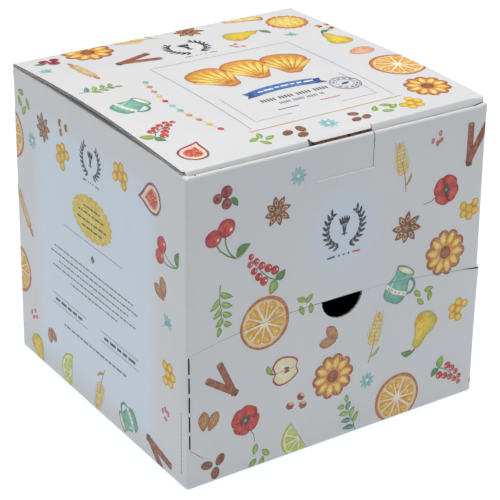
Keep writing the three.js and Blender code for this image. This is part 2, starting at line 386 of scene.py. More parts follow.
def shaded_brown_edge():
    """The torn brown edge of the tongue: kraft brown, with painted shade in darker streaks for the hollows between its
    flutes.
    """
    nodes = Nodes("shaded_brown_edge")
    place, x, y, z = nodes.axes()
    stretched = nodes.add("Mapping", None, Vector=place, Scale=(1.0, 1.0, 0.2)).outputs[0]
    color = nodes.blend(nodes.ramp(nodes.noise(stretched, 380.0, 3.0), 0.35, 0.62), linear(84, 62, 52), linear(164, 128, 110))
    nodes.bump(nodes.noise(place, 1200.0, 2.0), 0.00008)
    return nodes.finish(color, 0.9, 0.1)


def shaded_cut_edge():
    """The board's cut edge where it is seen through the print: pale, with a darker core, and greyer than the raw board
    as painted shade on the rims of the thumb hole and the flap.
    """
    nodes = Nodes("shaded_cut_edge")
    place, x, y, z = nodes.axes()
    color = nodes.blend(nodes.ramp(nodes.noise(place, 420.0, 3.0), 0.4, 0.6), linear(150, 145, 140), linear(190, 188, 186))
    nodes.bump(nodes.noise(place, 1200.0, 2.0), 0.00006)
    return nodes.finish(color, 0.8, 0.2)


# Near-black painted shade, laid inside the thumb hole's pocket and on the walls of the slits and cuts
def painted_shade_inside():
    nodes = Nodes("painted_shade_inside")
    place, x, y, z = nodes.axes()
    color = nodes.blend(nodes.noise(place, 60.0), linear(7, 7, 8), linear(16, 14, 13))
    return nodes.finish(color, 0.9, 0.1)


# Walls


ARC_STEPS = 6
SIDE_STEPS = 56
WALL_STEPS = 72
ROLL_STEPS = 5


def bulge_at(z):
    """How far the walls stand out below their rolled tops."""
    return TOP_BULGE * smooth(z, PRINT_HIGH - 12, PRINT_HIGH)


def plan_ring(side, front, back, radius):
    """A rounded rectangle, inset from the carton's plan, from the left front fold."""
    right = WIDTH / 2 - side
    low = -DEPTH / 2 + front
    high = DEPTH / 2 - back
    centres = [
        (-right + radius, low + radius),
        (right - radius, low + radius),
        (right - radius, high - radius),
        (-right + radius, high - radius),
    ]
    arcs = []
    for k, (cx, cy) in enumerate(centres):
        angles = [math.pi + (k + share) * math.pi / 2 for share in steps(0, 1, ARC_STEPS)]
        arcs.append([(cx + radius * math.cos(a), cy + radius * math.sin(a)) for a in angles])
    ring = []
    for k in range(4):
        start = arcs[k][-1]
        end = arcs[(k + 1) % 4][0]
        ring += arcs[k]
        for share in steps(0, 1, SIDE_STEPS)[1:-1]:
            ring.append((mix(start[0], end[0], share), mix(start[1], end[1], share)))
    return ring


def side_rise(x, y, z):
    """The side walls' rolled tops stand a little higher along their middle, and at the right front corner."""
    along = smooth(y, 4 - DEPTH / 2, 36 - DEPTH / 2) * smooth(y, DEPTH / 2 - 12, DEPTH / 4)
    near_side = smooth(abs(x), WIDTH / 2 - 12, WIDTH / 2 - 6)
    corner = smooth(x, WIDTH / 2 - 7, WIDTH / 2 - 2) * smooth(y, 14 - DEPTH / 2, 3 - DEPTH / 2)
    rise = SIDE_RISE * along * near_side + CORNER_RISE * corner
    return rise * smooth(z, WALL_HEIGHT - 16, WALL_HEIGHT - 2)


def at_height(ring, z):
    placed = []
    for x, y in ring:
        rise = BACK_RISE * (y / DEPTH + 0.5) * z / WALL_HEIGHT + side_rise(x, y, z)
        placed.append((x * flare_at(z), y * flare_at(z), z + rise))
    return placed


def wall_rings():
    """Rings from the middle of the foot, up the walls, over their rolled tops and down inside.
    The second value says whether the faces that lead to a ring are printed."""
    rings = []
    quarter = [math.pi / 2 * share for share in steps(0, 1, ROLL_STEPS)]
    for inset in (40, 12, 3):
        rings.append((at_height(plan_ring(inset, inset, inset, 1), 0), True))
    for angle in quarter:
        inset = FOOT_ROLL_RADIUS * (1 - math.sin(angle))
        z = FOOT_ROLL_RADIUS * (1 - math.cos(angle))
        rings.append((at_height(plan_ring(inset, inset, inset, FOLD_RADIUS), z), True))
    for z in steps(FOOT_ROLL_RADIUS, PRINT_HIGH, WALL_STEPS)[1:-1]:
        out = -bulge_at(z)
        rings.append((at_height(plan_ring(out, out, out, FOLD_RADIUS), z), True))
    ridge = RIDGE_THICKNESS / 2 / TOP_ROLL_RADIUS
    for angle in quarter:
        inset = (TOP_ROLL_RADIUS + TOP_BULGE) * (1 - math.cos(angle)) - TOP_BULGE
        z = WALL_HEIGHT - TOP_ROLL_RADIUS * (1 - math.sin(angle))
        rings.append((at_height(plan_ring(inset, inset * ridge, inset, FOLD_RADIUS), z), True))
    for angle in quarter:
        drop = TOP_ROLL_RADIUS * (1 - math.cos(angle))
        left = TOP_ROLL_RADIUS * (1 - math.sin(angle))
        side = SIDE_THICKNESS - left
        front = RIDGE_THICKNESS - left * ridge
        rings.append((at_height(plan_ring(side, front, side, 1), WALL_HEIGHT - drop), True))
    rings.append((at_height(plan_ring(SIDE_THICKNESS, RIDGE_THICKNESS, SIDE_THICKNESS, 1), SLOT_FLOOR + 0.5), False))
    rings.append((at_height(plan_ring(SIDE_THICKNESS, RIDGE_THICKNESS, SIDE_THICKNESS, 1), SLOT_FLOOR), False))
    groove_back = LID_FOLD_Y + 1 + TOP_HALF_DEPTH
    core = plan_ring(SLOT_DEPTH, groove_back, SIDE_THICKNESS + 0.5, 1)
    rings.append((at_height(core, SLOT_FLOOR), False))
    under = BOARD + 0.3
    for extra in (0, 30, 70):
        core = plan_ring(SLOT_DEPTH + extra, groove_back + extra, SIDE_THICKNESS + 0.5 + extra, 1)
        placed = [(x * (1 - FLARE), y * (1 - FLARE)) for x, y in core]
        rings.append(([(x, y, lid_top(x, y) - under) for x, y in placed], False))
    return rings


def wall_block():
    rings = wall_rings()
    count = len(rings[0][0])
    points = [p for ring, _ in rings for p in ring]
    faces = [list(range(count))]
    kinds = [0]
    for row in range(1, len(rings)):
        low = (row - 1) * count
        for i in range(count):
            j = (i + 1) % count
            faces.append((low + i, low + j, low + count + j, low + count + i))
            kinds.append(0 if rings[row][1] else 1)
    faces.append(list(range(len(points) - count, len(points))))
    kinds.append(1)
    return mesh_from("walls", points, faces, kinds)


# Cuts through the front wall


def cutter(outline, depths):
    """A closed outline of places across and up the front, driven into the wall in steps."""
    points = [(x, -DEPTH, z) for x, z in outline]
    for depth in depths:
        points += [(x, front_face(z) + depth, z) for x, z in outline]
    count = len(outline)
    faces = [list(range(count)), list(range(len(points) - count, len(points)))]
    kinds = [0, len(depths) - 1]
    for row in range(len(depths)):
        for i in range(count):
            j = (i + 1) % count
            low = row * count
            faces.append((low + i, low + j, low + count + j, low + count + i))
            kinds.append(row)
    return points, faces, kinds


def tear_strip(xs, depth):
    """A thin cut along the tear line."""
    points, faces = [], []
    for i, x in enumerate(xs):
        for z in (tear_height(x) - tear_gap(x) / 2, tear_height(x) + tear_gap(x) / 2):
            points += [(x, -DEPTH, z), (x, front_face(z) + depth, z)]
        if i:
            a, b = 4 * i - 4, 4 * i
            faces += [(a, b, b + 2, a + 2), (a + 1, a + 3, b + 3, b + 1), (a, a + 1, b + 1, b)]
            faces.append((a + 2, b + 2, b + 3, a + 3))
    last = len(points) - 4
    faces += [(0, 2, 3, 1), (last, last + 1, last + 3, last + 2)]
    return points, faces, [0] * len(faces)


def half_round():
    """The thumb hole, with small teeth along its punched rim."""
    squash = HOLE_HEIGHT / HOLE_RADIUS
    outline = []
    for k, share in enumerate(steps(0, 1, 56)):
        angle = math.pi * (1 + share)
        radius = HOLE_RADIUS + (HOLE_TOOTH if k % 4 < 2 else -HOLE_TOOTH)
        outline.append((HOLE_X + radius * math.cos(angle), HOLE_TOP + radius * math.sin(angle) * squash))
    return outline


def slot_outline(x, z, run, fall, width):
    long = math.hypot(run, fall)
    dx, dz = fall / long * width / 2, run / long * width / 2
    return [(x - dx, z - dz), (x + run - dx, z - fall - dz), (x + run + dx, z - fall + dz), (x + dx, z + dz)]


def dashes():
    for i in range(DASH_COUNT):
        length = DASH_LENGTH if i < DASH_COUNT - 1 else LAST_DASH_LENGTH
        yield FIRST_DASH_TOP - i * DASH_PITCH, length


def flap_cut():
    low = WALL_HEIGHT - FLAP_HEIGHT
    left = FLAP_HALF_WIDTH
    top = WALL_HEIGHT + 9
    outline = [(left, low), (left + FLAP_GAP / 2, low), (left + FLAP_GAP * 1.2, top), (left, top)]
    return cutter(outline, [RIDGE_THICKNESS + LID_GROOVE / 2])


def side_dash(top, length):
    """A cut that has slipped round the right front fold to the side wall."""
    face = WIDTH / 2 * flare_at(top)
    y = front_face(top) + SIDE_DASH_INSET
    return box_cut((face - BOARD, WIDTH), (y, y + DASH_WIDTH), (top - length, top))


def corner_slit(left, length):
    """A small slit in the front ridge, beside a corner."""
    y = -TOP_HALF_DEPTH + 0.3 * RIDGE_THICKNESS
    return box_cut((left, left + length), (y, y + CORNER_SLIT_WIDTH), (WALL_HEIGHT - BOARD, WALL_HEIGHT + 9))


def box_cut(xs, ys, zs):
    points = [(a, b, c) for a in xs for b in ys for c in zs]
    faces = [(0, 1, 3, 2), (4, 6, 7, 5), (0, 4, 5, 1), (2, 3, 7, 6), (0, 2, 6, 4), (1, 5, 7, 3)]
    return points, faces, [0] * 6


def cut_away(mesh, shapes, *materials):
    """Takes shapes that don't touch each other out of a mesh."""
    points, faces, kinds = [], [], []
    for shape_points, shape_faces, shape_kinds in shapes:
        base = len(points)
        points += shape_points
        faces += [[base + i for i in face] for face in shape_faces]
        kinds += shape_kinds
    tool_mesh = mesh_from("tool", points, faces, kinds)
    for material in materials:
        tool_mesh.materials.append(material)
    tool = bpy.data.objects.new("tool", tool_mesh)
    target = bpy.data.objects.new("target", mesh)
    for thing in (tool, target):
        bpy.context.scene.collection.objects.link(thing)
    boolean = target.modifiers.new("cut", "BOOLEAN")
    boolean.operation = "DIFFERENCE"
    boolean.solver = "EXACT"
    boolean.material_mode = "TRANSFER"
    boolean.object = tool
    done = bpy.data.meshes.new_from_object(target.evaluated_get(bpy.context.evaluated_depsgraph_get()))
    for thing in (tool, target):
        bpy.data.objects.remove(thing)
    return done


def make_walls(board, raw, edge, dark):
    mesh = wall_block()
    for material in (board, raw):
        mesh.materials.append(material)
    # The thumb hole's pocket, and the slits and tear cuts below, are lined with near-black painted shade
    hole = cutter(half_round(), [HOLE_EDGE, HOLE_DEPTH])
    mesh = cut_away(mesh, [hole, flap_cut()], edge, dark)
    row = [cutter(slot_outline(-DASH_OFFSET, top, 0, length, DASH_WIDTH), [BOARD]) for top, length in dashes()]
    row += [side_dash(top, length) for top, length in dashes()]
    row += [corner_slit(*place) for place in CORNER_SLITS]
    mesh = cut_away(mesh, row, dark)
    slant = cutter(slot_outline(-DASH_OFFSET, SLANT_TOP, SLANT_RUN, SLANT_HEIGHT, TEAR_WIDTH), [BOARD])
    left = tear_strip(steps(-WIDTH / 2 * flare_at(TEAR_END) + 0.9, HOLE_X - HOLE_RADIUS + 1, 60), BOARD / 2)
    right = tear_strip(steps(HOLE_X + HOLE_RADIUS - 1, WIDTH / 2 * flare_at(TEAR_END) + 1, 60), BOARD / 2)
    mesh = cut_away(mesh, [slant, left, right], dark)
    for vertex in mesh.vertices:
        vertex.co = settled(vertex.co / MM) * MM
    return piece_from("carton_walls", mesh, "printed_board")


# Lid: two liners with a fluted sheet between them, from its fold at the back wall to
# its front edge, which curls down on both sides of the tongue


FLUTE_PITCH = 3.2
LINER = 0.28
FLUTE_SHEET = 0.2
FOLD_BACK_LEFT = 0.2  # how far the leaning curl takes the lid's front fold back
FOLD_BACK_RIGHT = 1.2
CORNER_REACH = 14
CORNER_FORWARD = 2.2
CORNER_SHORT = 0.55
CURL_ARC = CURL_RADIUS * CURL_TURN
BACK_ARC = LID_BACK_RADIUS * math.pi / 2
FLAT_LENGTH = TOP_HALF_DEPTH - LID_BACK_RADIUS - LID_FOLD_Y
LID_END = FLAT_LENGTH + BACK_ARC + LID_BACK_LEG


def across_lid(x):
    return clamp(x / (2 * TOP_HALF_WIDTH) + 0.5)


def right_corner(x):
    """The lid's right front corner, where its fold comes forward and its curl ends short."""
    return smooth(x, TOP_HALF_WIDTH - CORNER_REACH, TOP_HALF_WIDTH)


def fold_at(x):
    """Where the lid's front fold is, so that the leaning curl meets the front ridge."""
    back = mix(FOLD_BACK_LEFT, FOLD_BACK_RIGHT, across_lid(x)) - CORNER_FORWARD * right_corner(x)
    return LID_FOLD_Y - CURL_RADIUS * (1 - math.sin(CURL_TURN)) + back


def lid_point(x, along, depth, tongue=False):
    """A place in the lid's board: across, along from the front fold, and down from its upper face."""
    if along >= 0:
        if along <= FLAT_LENGTH:
            y = mix(fold_at(x), LID_FOLD_Y + FLAT_LENGTH, along / FLAT_LENGTH)
            return x, y, lid_top(x, y) - depth
        y = LID_FOLD_Y + FLAT_LENGTH
        angle = min((along - FLAT_LENGTH) / LID_BACK_RADIUS, math.pi / 2)
        leg = max(0, along - FLAT_LENGTH - BACK_ARC)
        radius = max(0.05, LID_BACK_RADIUS - depth)
        z = lid_top(x, y) - LID_BACK_RADIUS + radius * math.cos(angle) - leg
        return x, y + radius * math.sin(angle), z
    ahead = -along
    fold = fold_at(x)
    top = lid_top(x, fold)
    if tongue:
        reach = ahead / TONGUE_REACH
        droop = mix(TONGUE_DROOP_LEFT, TONGUE_DROOP_RIGHT, clamp((x - TONGUE_X) / (2 * TONGUE_HALF_WIDTH) + 0.5))
        return x, mix(fold, LID_FOLD_Y - TONGUE_REACH, reach), top - droop * reach ** 1.3 - depth
    angle = min(ahead / CURL_RADIUS, CURL_TURN)
    leg_length = mix(CURL_LEG_LEFT, CURL_LEG_RIGHT, across_lid(x)) * (1 - CORNER_SHORT * right_corner(x))
    leg = max(0, ahead - CURL_ARC) * leg_length / CURL_LEG_RIGHT
    radius = max(CURL_INNER_RADIUS, CURL_RADIUS - depth)
    off_centre = radius - max(0, depth - CURL_RADIUS + CURL_INNER_RADIUS)
    y = fold - off_centre * math.sin(angle) - leg * math.cos(CURL_TURN)
    return x, y, top - CURL_RADIUS + off_centre * math.cos(angle) - leg * math.sin(CURL_TURN)


def tongue_edge(x, ahead):
    """Narrows the tongue at its round corners."""
    beyond = ahead - (TONGUE_REACH - TONGUE_CORNER)
    round_off = TONGUE_CORNER - math.sqrt(max(0, TONGUE_CORNER ** 2 - clamp(beyond, 0, TONGUE_CORNER) ** 2))
    half = TONGUE_HALF_WIDTH - round_off
    return clamp(x, TONGUE_X - half, TONGUE_X + half)


def lid_zones():
    """The lid's panel, its two curls and its tongue, as columns across and rows along."""
    half = LID_HALF_WIDTH
    inner = TOP_HALF_WIDTH - LID_CORNER_GAP
    gap = FLAP_HALF_WIDTH + FLAP_GAP
    curl_left = steps(-inner, -FLAP_HALF_WIDTH - FLAP_NOTCH, 16)
    curl_right = steps(gap, inner - CORNER_REACH, 14) + steps(inner - CORNER_REACH, inner, 10)[1:]
    tongue = steps(TONGUE_X - TONGUE_HALF_WIDTH, TONGUE_X + TONGUE_HALF_WIDTH, 14)
    panel = [-half] + curl_left + tongue + curl_right + [half]
    back = steps(FLAT_LENGTH, FLAT_LENGTH + BACK_ARC, 6)[1:] + [LID_END]
    curl = steps(-CURL_ARC, 0, 7)
    yield panel, steps(0, FLAT_LENGTH, 60) + back, False
    yield curl_left, [-CURL_ARC - CURL_LEG_RIGHT] + curl, False
    yield curl_right, [-CURL_ARC - CURL_LEG_RIGHT] + curl, False
    yield tongue, steps(-TONGUE_REACH, 0, 10), True


def lid_sheet(name, upper, lower, upper_kind, zones):
    """One closed layer of the board. The upper and lower faces are given as depths along the lid."""
    points, faces, kinds = [], [], []
    for columns, rows, tongue in zones:
        base = len(points)
        wide = len(columns)
        for level in (upper, lower):
            for along in rows:
                for x in columns:
                    x = tongue_edge(x, -along) if tongue else x
                    points.append(lid_point(x, along, level(along), tongue))
        layer = wide * len(rows)
        def quad(a, b, c, d, kind):
            faces.append((base + a, base + b, base + c, base + d))
            kinds.append(kind)
        for r in range(len(rows) - 1):
            for c in range(wide - 1):
                i = r * wide + c
                quad(i, i + 1, i + wide + 1, i + wide, upper_kind)
                quad(layer + i, layer + i + wide, layer + i + wide + 1, layer + i + 1, 1)
            for i in (r * wide, r * wide + wide - 1):
                quad(i, i + wide, layer + i + wide, layer + i, 2 if tongue else 1)
        joined = tongue or rows[0] < -CURL_ARC
        for r in (0, len(rows) - 1):
            at_fold = rows[r] == 0
            for c in range(wide - 1):
                i = r * wide + c
                if at_fold and (joined or is_joined(columns[c], columns[c + 1])):
                    continue
                quad(i, i + 1, layer + i + 1, layer + i, 2 if tongue and r == 0 else 1)
    return mesh_from(name, points, faces, kinds)


def is_joined(left, right):
    """Whether a stretch of the panel's front edge goes on as a curl or as the tongue."""
    middle = (left + right) / 2
    in_tongue = abs(middle - TONGUE_X) < TONGUE_HALF_WIDTH
    starts = FLAP_HALF_WIDTH + (FLAP_NOTCH if left < 0 else FLAP_GAP)
    in_curl = starts < abs(middle) < TOP_HALF_WIDTH - LID_CORNER_GAP
    return in_tongue or in_curl


def wave_depth(offset):
    middle = BOARD / 2
    swing = middle - LINER - FLUTE_SHEET / 2
    return lambda along: middle + offset + swing * math.sin(2 * math.pi * along / FLUTE_PITCH)


def flute_zones():
    """The zones again, with rows close enough for the flutes."""
    for columns, rows, tongue in lid_zones():
        fine = max(4, round((rows[-1] - rows[0]) / (FLUTE_PITCH / 10)))
        few = columns if tongue else columns[::4] + ([columns[-1]] if (len(columns) - 1) % 4 else [])
        yield few, steps(rows[0], rows[-1], fine), tongue


def make_lid(board, raw, shaded_kraft):
    top = lid_sheet("lid_top", lambda a: 0, lambda a: LINER, 0, list(lid_zones()))
    low = lid_sheet("lid_low", lambda a: BOARD - LINER, lambda a: BOARD, 1, list(lid_zones()))
    panel_only = list(flute_zones())
    flutes = []
    for index, zone in enumerate(panel_only):
        flutes.append(fluted_sheet("flute_%d" % index, *zone))
    work = bmesh.new()
    for mesh in [top, low] + flutes:
        work.from_mesh(mesh)
    merged = bpy.data.meshes.new("lid")
    work.to_mesh(merged)
    work.free()
    return piece_from("carton_lid", merged, "printed_board", board, raw, shaded_kraft)


def fluted_sheet(name, columns, rows, tongue):
    upper, lower = wave_depth(-FLUTE_SHEET / 2), wave_depth(FLUTE_SHEET / 2)
    points, faces = [], []
    wide = len(columns)
    for level in (upper, lower):
        for along in rows:
            for x in columns:
                x = tongue_edge(x, -along) if tongue else x
                points.append(lid_point(x, along, level(along), tongue))
    layer = wide * len(rows)
    for r in range(len(rows) - 1):
        for c in range(wide - 1):
            i = r * wide + c
            faces.append((i, i + 1, i + wide + 1, i + wide))
            faces.append((layer + i, layer + i + wide, layer + i + wide + 1, layer + i + 1))
        for i in (r * wide, r * wide + wide - 1):
            faces.append((i, i + wide, layer + i + wide, layer + i))
    for r in (0, len(rows) - 1):
        for c in range(wide - 1):
            i = r * wide + c
            faces.append((i, i + 1, layer + i + 1, layer + i))
    return mesh_from(name, points, faces, [2 if tongue else 1] * len(faces))


# Printed design: flat coloured patches in millimetres, drawn on the unrolled walls and
# on the lid, and then laid on the board


PERIMETER = 2 * (WIDTH + DEPTH)
FACE_STARTS = {"front": 0, "right": WIDTH, "back": WIDTH + DEPTH, "left": 2 * WIDTH + DEPTH}
FACE_WIDTHS = {"front": WIDTH, "right": DEPTH, "back": WIDTH, "left": DEPTH}
PRINT_LIFT = 0.05
LAYER_LIFT = 0.025


def shade(color, factor):
    return tuple(clamp(value * factor, 0, 255) for value in color)


def between(a, b, share):
    return tuple(mix(x, y, share) for x, y in zip(a, b))


YELLOW = (240, 206, 62)
YELLOW_DEEP = (208, 152, 40)
GOLD = (234, 180, 62)
GOLD_LIGHT = (244, 218, 122)
ORANGE = (226, 140, 50)
ORANGE_DEEP = (186, 96, 40)
CREAM = (244, 236, 208)
TAN = (226, 198, 150)
TAN_DEEP = (192, 146, 96)
BROWN = (154, 84, 60)
BROWN_DEEP = (104, 50, 38)
RED = (206, 58, 52)
RED_DEEP = (150, 32, 42)
PINK = (222, 130, 134)
PLUM = (142, 58, 84)
OLIVE = (160, 162, 84)
GREEN = (150, 184, 78)
GREEN_DEEP = (84, 128, 62)
PINE = (52, 124, 98)
TEAL = (122, 188, 168)
TEAL_DEEP = (78, 146, 130)
SKY = (150, 200, 205)
SKY_DEEP = (120, 180, 190)
BLUE = (52, 96, 164)
BLUE_DEEP = (38, 70, 132)
INK = (34, 38, 52)
INK_GREY = (98, 104, 116)
WHITE = (246, 246, 246)


# Outlines


def oval(x, y, half_width, half_height, turn=0, wobble=0, count=24):
    points = []
    for k in range(count):
        a = 2 * math.pi * k / count
        r = 1 + wobble * math.sin(3 * a + x) + wobble * math.sin(5 * a + y)
        px, py = half_width * r * math.cos(a), half_height * r * math.sin(a)
        points.append((x + px * math.cos(turn) - py * math.sin(turn), y + px * math.sin(turn) + py * math.cos(turn)))
    return points


def loop_through(points, count=5):
    """A smooth closed outline through a few points."""
    outline = []
    for k in range(len(points)):
        a, b, c, d = (points[(k + j - 1) % len(points)] for j in range(4))
        for step in range(count):
            t = step / count
            place = []
            for axis in (0, 1):
                p0, p1, p2, p3 = a[axis], b[axis], c[axis], d[axis]
                slope = (p2 - p0) * t + (2 * p0 - 5 * p1 + 4 * p2 - p3) * t * t
                place.append(0.5 * (2 * p1 + slope + (3 * p1 - p0 - 3 * p2 + p3) * t ** 3))
            outline.append(tuple(place))
    return outline


def blade(start, end, width, bend=0.0, count=9):
    """A leaf that is pointed at both ends."""
    (x0, y0), (x1, y1) = start, end
    long = math.hypot(x1 - x0, y1 - y0)
    ux, uy = (x1 - x0) / long, (y1 - y0) / long
    sides = [[], []]
    for t in steps(0, 1, count):
        middle = bend * math.sin(math.pi * t)
        half = width / 2 * math.sin(math.pi * t ** 0.85) ** 0.8 if 0 < t < 1 else 0
        for side, sign in ((0, 1), (1, -1)):
            off = middle + sign * half
            sides[side].append((x0 + ux * t * long - uy * off, y0 + uy * t * long + ux * off))
    return sides[0] + sides[1][-2:0:-1]


def lobed(radius, lobes, depth, turn=0, count=8):
    points = []
    for k in range(lobes * count):
        a = 2 * math.pi * k / (lobes * count)
        r = radius * (1 - depth + depth * abs(math.sin(a * lobes / 2)) ** 0.7)
        points.append((r * math.cos(a + turn), r * math.sin(a + turn)))
    return points


def wedge(angle, inner, outer, spread, count=6):
    """A rounded citrus segment."""
    points = [(inner * math.cos(angle), inner * math.sin(angle))]
    for share in steps(-1, 1, count):
        r = outer * (1 - 0.1 * share ** 4)
        a = angle + spread * share
        points.append((r * math.cos(a), r * math.sin(a)))
    return points


def arc(x, y, radius, start, end, count=10):
    return [(x + radius * math.cos(a), y + radius * math.sin(a)) for a in steps(start, end, count)]


class Brush:
    """Paints a motif at a place on a face, turned and sized, into a list of patches."""

    def __init__(self, patches, x, y, turn=0.0, size=1.0, base=0):
        self.patches = patches
        self.x, self.y = x, y
        self.cos, self.sin = math.cos(turn) * size, math.sin(turn) * size
        self.size = size
        self.base = base

    def at(self, point):
        x, y = point
        return self.x + x * self.cos - y * self.sin, self.y + x * self.sin + y * self.cos

    def fill(self, outline, edge, middle=None, layer=0, light=(0.0, 0.0)):
        """A shape that fades from its edge to its middle. The light shifts the middle."""
        middle = middle or edge
        count = len(outline)
        cx = sum(p[0] for p in outline) / count
        cy = sum(p[1] for p in outline) / count
        points, colors, faces = [], [], []
        for share, tone in ((1, 0), (0.84, 0.62), (0.45, 1)):
            for x, y in outline:
                shift = 1 - share
                points.append(self.at((mix(cx, x, share) + light[0] * shift, mix(cy, y, share) + light[1] * shift)))
                colors.append(between(edge, middle, tone))
        points.append(self.at((cx + light[0], cy + light[1])))
        colors.append(shade(middle, 1.04))
        for i in range(count):
            j = (i + 1) % count
            faces.append((i, j, count + j, count + i))
            faces.append((count + i, count + j, 2 * count + j, 2 * count + i))
            faces.append((2 * count + i, 2 * count + j, 3 * count))
        self.patches.append((points, faces, colors, self.base + layer))

    def line(self, path, width, color, layer=1, end_width=None):
        """A line of even width, or one that narrows to its end."""
        end_width = width if end_width is None else end_width
        fine = [path[0]]
        for a, b in zip(path, path[1:]):
            parts = max(1, math.ceil(math.hypot(b[0] - a[0], b[1] - a[1]) * self.size / 7))
            fine += [(mix(a[0], b[0], k / parts), mix(a[1], b[1], k / parts)) for k in range(1, parts + 1)]
        points = []
        for i, (x, y) in enumerate(fine):
            before, after = fine[max(0, i - 1)], fine[min(len(fine) - 1, i + 1)]
            dx, dy = after[0] - before[0], after[1] - before[1]
            long = math.hypot(dx, dy) or 1
            half = mix(width, end_width, i / (len(fine) - 1)) / 2
            points.append(self.at((x - dy / long * half, y + dx / long * half)))
            points.append(self.at((x + dy / long * half, y - dx / long * half)))
        faces = [(2 * i, 2 * i + 1, 2 * i + 3, 2 * i + 2) for i in range(len(fine) - 1)]
        self.patches.append((points, faces, [color] * len(points), self.base + layer))

    def dot(self, x, y, radius, color, layer=1):
        points = [self.at(p) for p in oval(x, y, radius, radius, count=10)]
        self.patches.append((points, [tuple(range(10))], [color] * 10, self.base + layer))

    def sub(self, x, y, turn=0.0, size=1.0):
        """A brush for a part of the motif."""
        place = self.at((x, y))
        angle = math.atan2(self.sin, self.cos) + turn
        return Brush(self.patches, place[0], place[1], angle, self.size * size, self.base)


# Motifs: each is drawn about its middle, with its half size in millimetres


def orange_slice(brush, draw):
    radius = 18
    brush.fill(oval(0, 0, radius, radius, wobble=0.008, count=36), ORANGE_DEEP, ORANGE)
    brush.fill(oval(0.3, 0.3, radius * 0.89, radius * 0.89, count=32), TAN, CREAM, 1)
    for k in range(10):
        angle = 2 * math.pi * (k + 0.1 * draw.random()) / 10
        brush.fill(wedge(angle, radius * 0.13, radius * 0.8, 0.26), ORANGE, GOLD, 2, (1, 1))
        for _ in range(2):
            r = radius * draw.uniform(0.4, 0.72)
            a = angle + draw.uniform(-0.12, 0.12)
            tip = (r + 2) * math.cos(a), (r + 2) * math.sin(a)
            brush.fill(blade((r * math.cos(a), r * math.sin(a)), tip, 0.8, count=4), GOLD_LIGHT, CREAM, 3)


def half_slice(brush, draw):
    radius = 15
    rim = arc(0, -4, radius, 0, math.pi, 16)
    brush.fill(rim, GREEN, YELLOW, 0)
    brush.fill(arc(0, -3.6, radius * 0.88, 0.03, math.pi - 0.03, 14), CREAM, CREAM, 1)
    for k in range(5):
        angle = math.pi * (k + 0.5) / 5
        outline = [(x, y - 3.4) for x, y in wedge(angle, radius * 0.14, radius * 0.78, 0.26)]
        brush.fill(outline, GREEN, (206, 216, 110), 2, (0.6, 0.6))


def pear(brush, draw):
    body = loop_through([(0, 12), (3.6, 9), (4.6, 3), (8.4, -4), (7.6, -11), (0, -14), (-8, -10.5), (-8.6, -4), (-4.8, 3), (-3.6, 9)])
    brush.fill(body, OLIVE, YELLOW, 0, (2, -2))
    brush.fill(blade((4.4, -11), (7, -2), 3.4, -1), ORANGE, (226, 170, 80), 1)
    for _ in range(14):
        a, r = draw.uniform(0, 6.3), draw.uniform(1, 6)
        brush.dot(r * math.cos(a), -6 + r * math.sin(a), 0.28, TAN_DEEP, 2)
    brush.line([(0, 12), (0.6, 14), (2, 16.4)], 1.2, BROWN_DEEP, 1, 0.8)
    brush.fill(blade((1, 14), (10, 16.5), 4.6, 1.2), PINE, GREEN_DEEP, 1)
    brush.line([(1, 14), (5, 15.8), (9, 16.4)], 0.4, GREEN, 2)


def cherries(brush, draw):
    brush.line(arc(-16, 2, 18, -0.62, 0.62), 0.9, GREEN_DEEP, 0)
    brush.line([(-1.3, 12.4), (3, 8), (6.6, 2), (7.4, -2)], 0.9, GREEN_DEEP, 0)
    for x, y, r in ((-1.6, -9, 6), (8, -7.4, 5.6)):
        brush.fill(oval(x, y, r, r * 0.94, wobble=0.012), RED_DEEP, RED, 1, (-1.4, 1.6))
        brush.fill(oval(x - r * 0.4, y + r * 0.4, r * 0.22, r * 0.13, 0.7, count=10), PINK, WHITE, 2)
    brush.fill(blade((-1.5, 12.4), (-13, 9), 6, 1.6), PINE, GREEN_DEEP, 1)
    brush.line([(-1.5, 12.4), (-7, 12), (-12, 9.6)], 0.45, GREEN, 2)


def currants(brush, draw):
    stem = [(0, 13), (1.2, 7), (0.4, 0), (-1.4, -7), (-2, -12)]
    brush.line(stem, 0.8, GREEN_DEEP, 0, 0.5)
    for k in range(9):
        t = k / 8
        side = 1 if k % 2 else -1
        x = 1.4 * math.sin(3 * t) - 2 * t + side * mix(4.4, 1.5, t)
        y = 8.5 - 20.5 * t
        brush.line([(x - side * 3, y + 1.4), (x, y)], 0.5, OLIVE, 0)
        r = mix(2.9, 1.9, t)
        brush.fill(oval(x, y, r, r, count=16), RED_DEEP, RED, 1, (-0.6, 0.8))
        brush.dot(x - r * 0.35, y + r * 0.35, r * 0.2, WHITE, 2)
        brush.dot(x + r * 0.1, y - r * 0.85, 0.35, BROWN_DEEP, 2)
    brush.fill(blade((0, 12), (9, 15.5), 6.4, 0.8), GREEN_DEEP, GREEN, 1)
    brush.fill(blade((0, 12.5), (-8, 15), 5.4, -0.8), PINE, GREEN_DEEP, 1)


def wheat_ear(brush, draw):
    brush.line([(0, -18), (0.8, -8), (0, 4)], 0.8, TAN_DEEP, 0)
    for k in range(7):
        y = -5 + 2.7 * k
        for side in (-1, 1):
            tip = (side * mix(4.4, 2.2, k / 6), y + 4.6)
            brush.line([tip, (tip[0] * 1.5, tip[1] + 4.4)], 0.35, TAN_DEEP, 0, 0.15)
            brush.fill(blade((side * 0.5, y), tip, 2.5, -side * 0.5, 6), YELLOW_DEEP, GOLD_LIGHT, 1)
    brush.fill(blade((0, 13.4), (0, 18.4), 2.5, 0, 6), YELLOW_DEEP, GOLD, 2)
    brush.fill(blade((0.2, -14), (6.6, -6), 2.2, -1), OLIVE, OLIVE, 0)


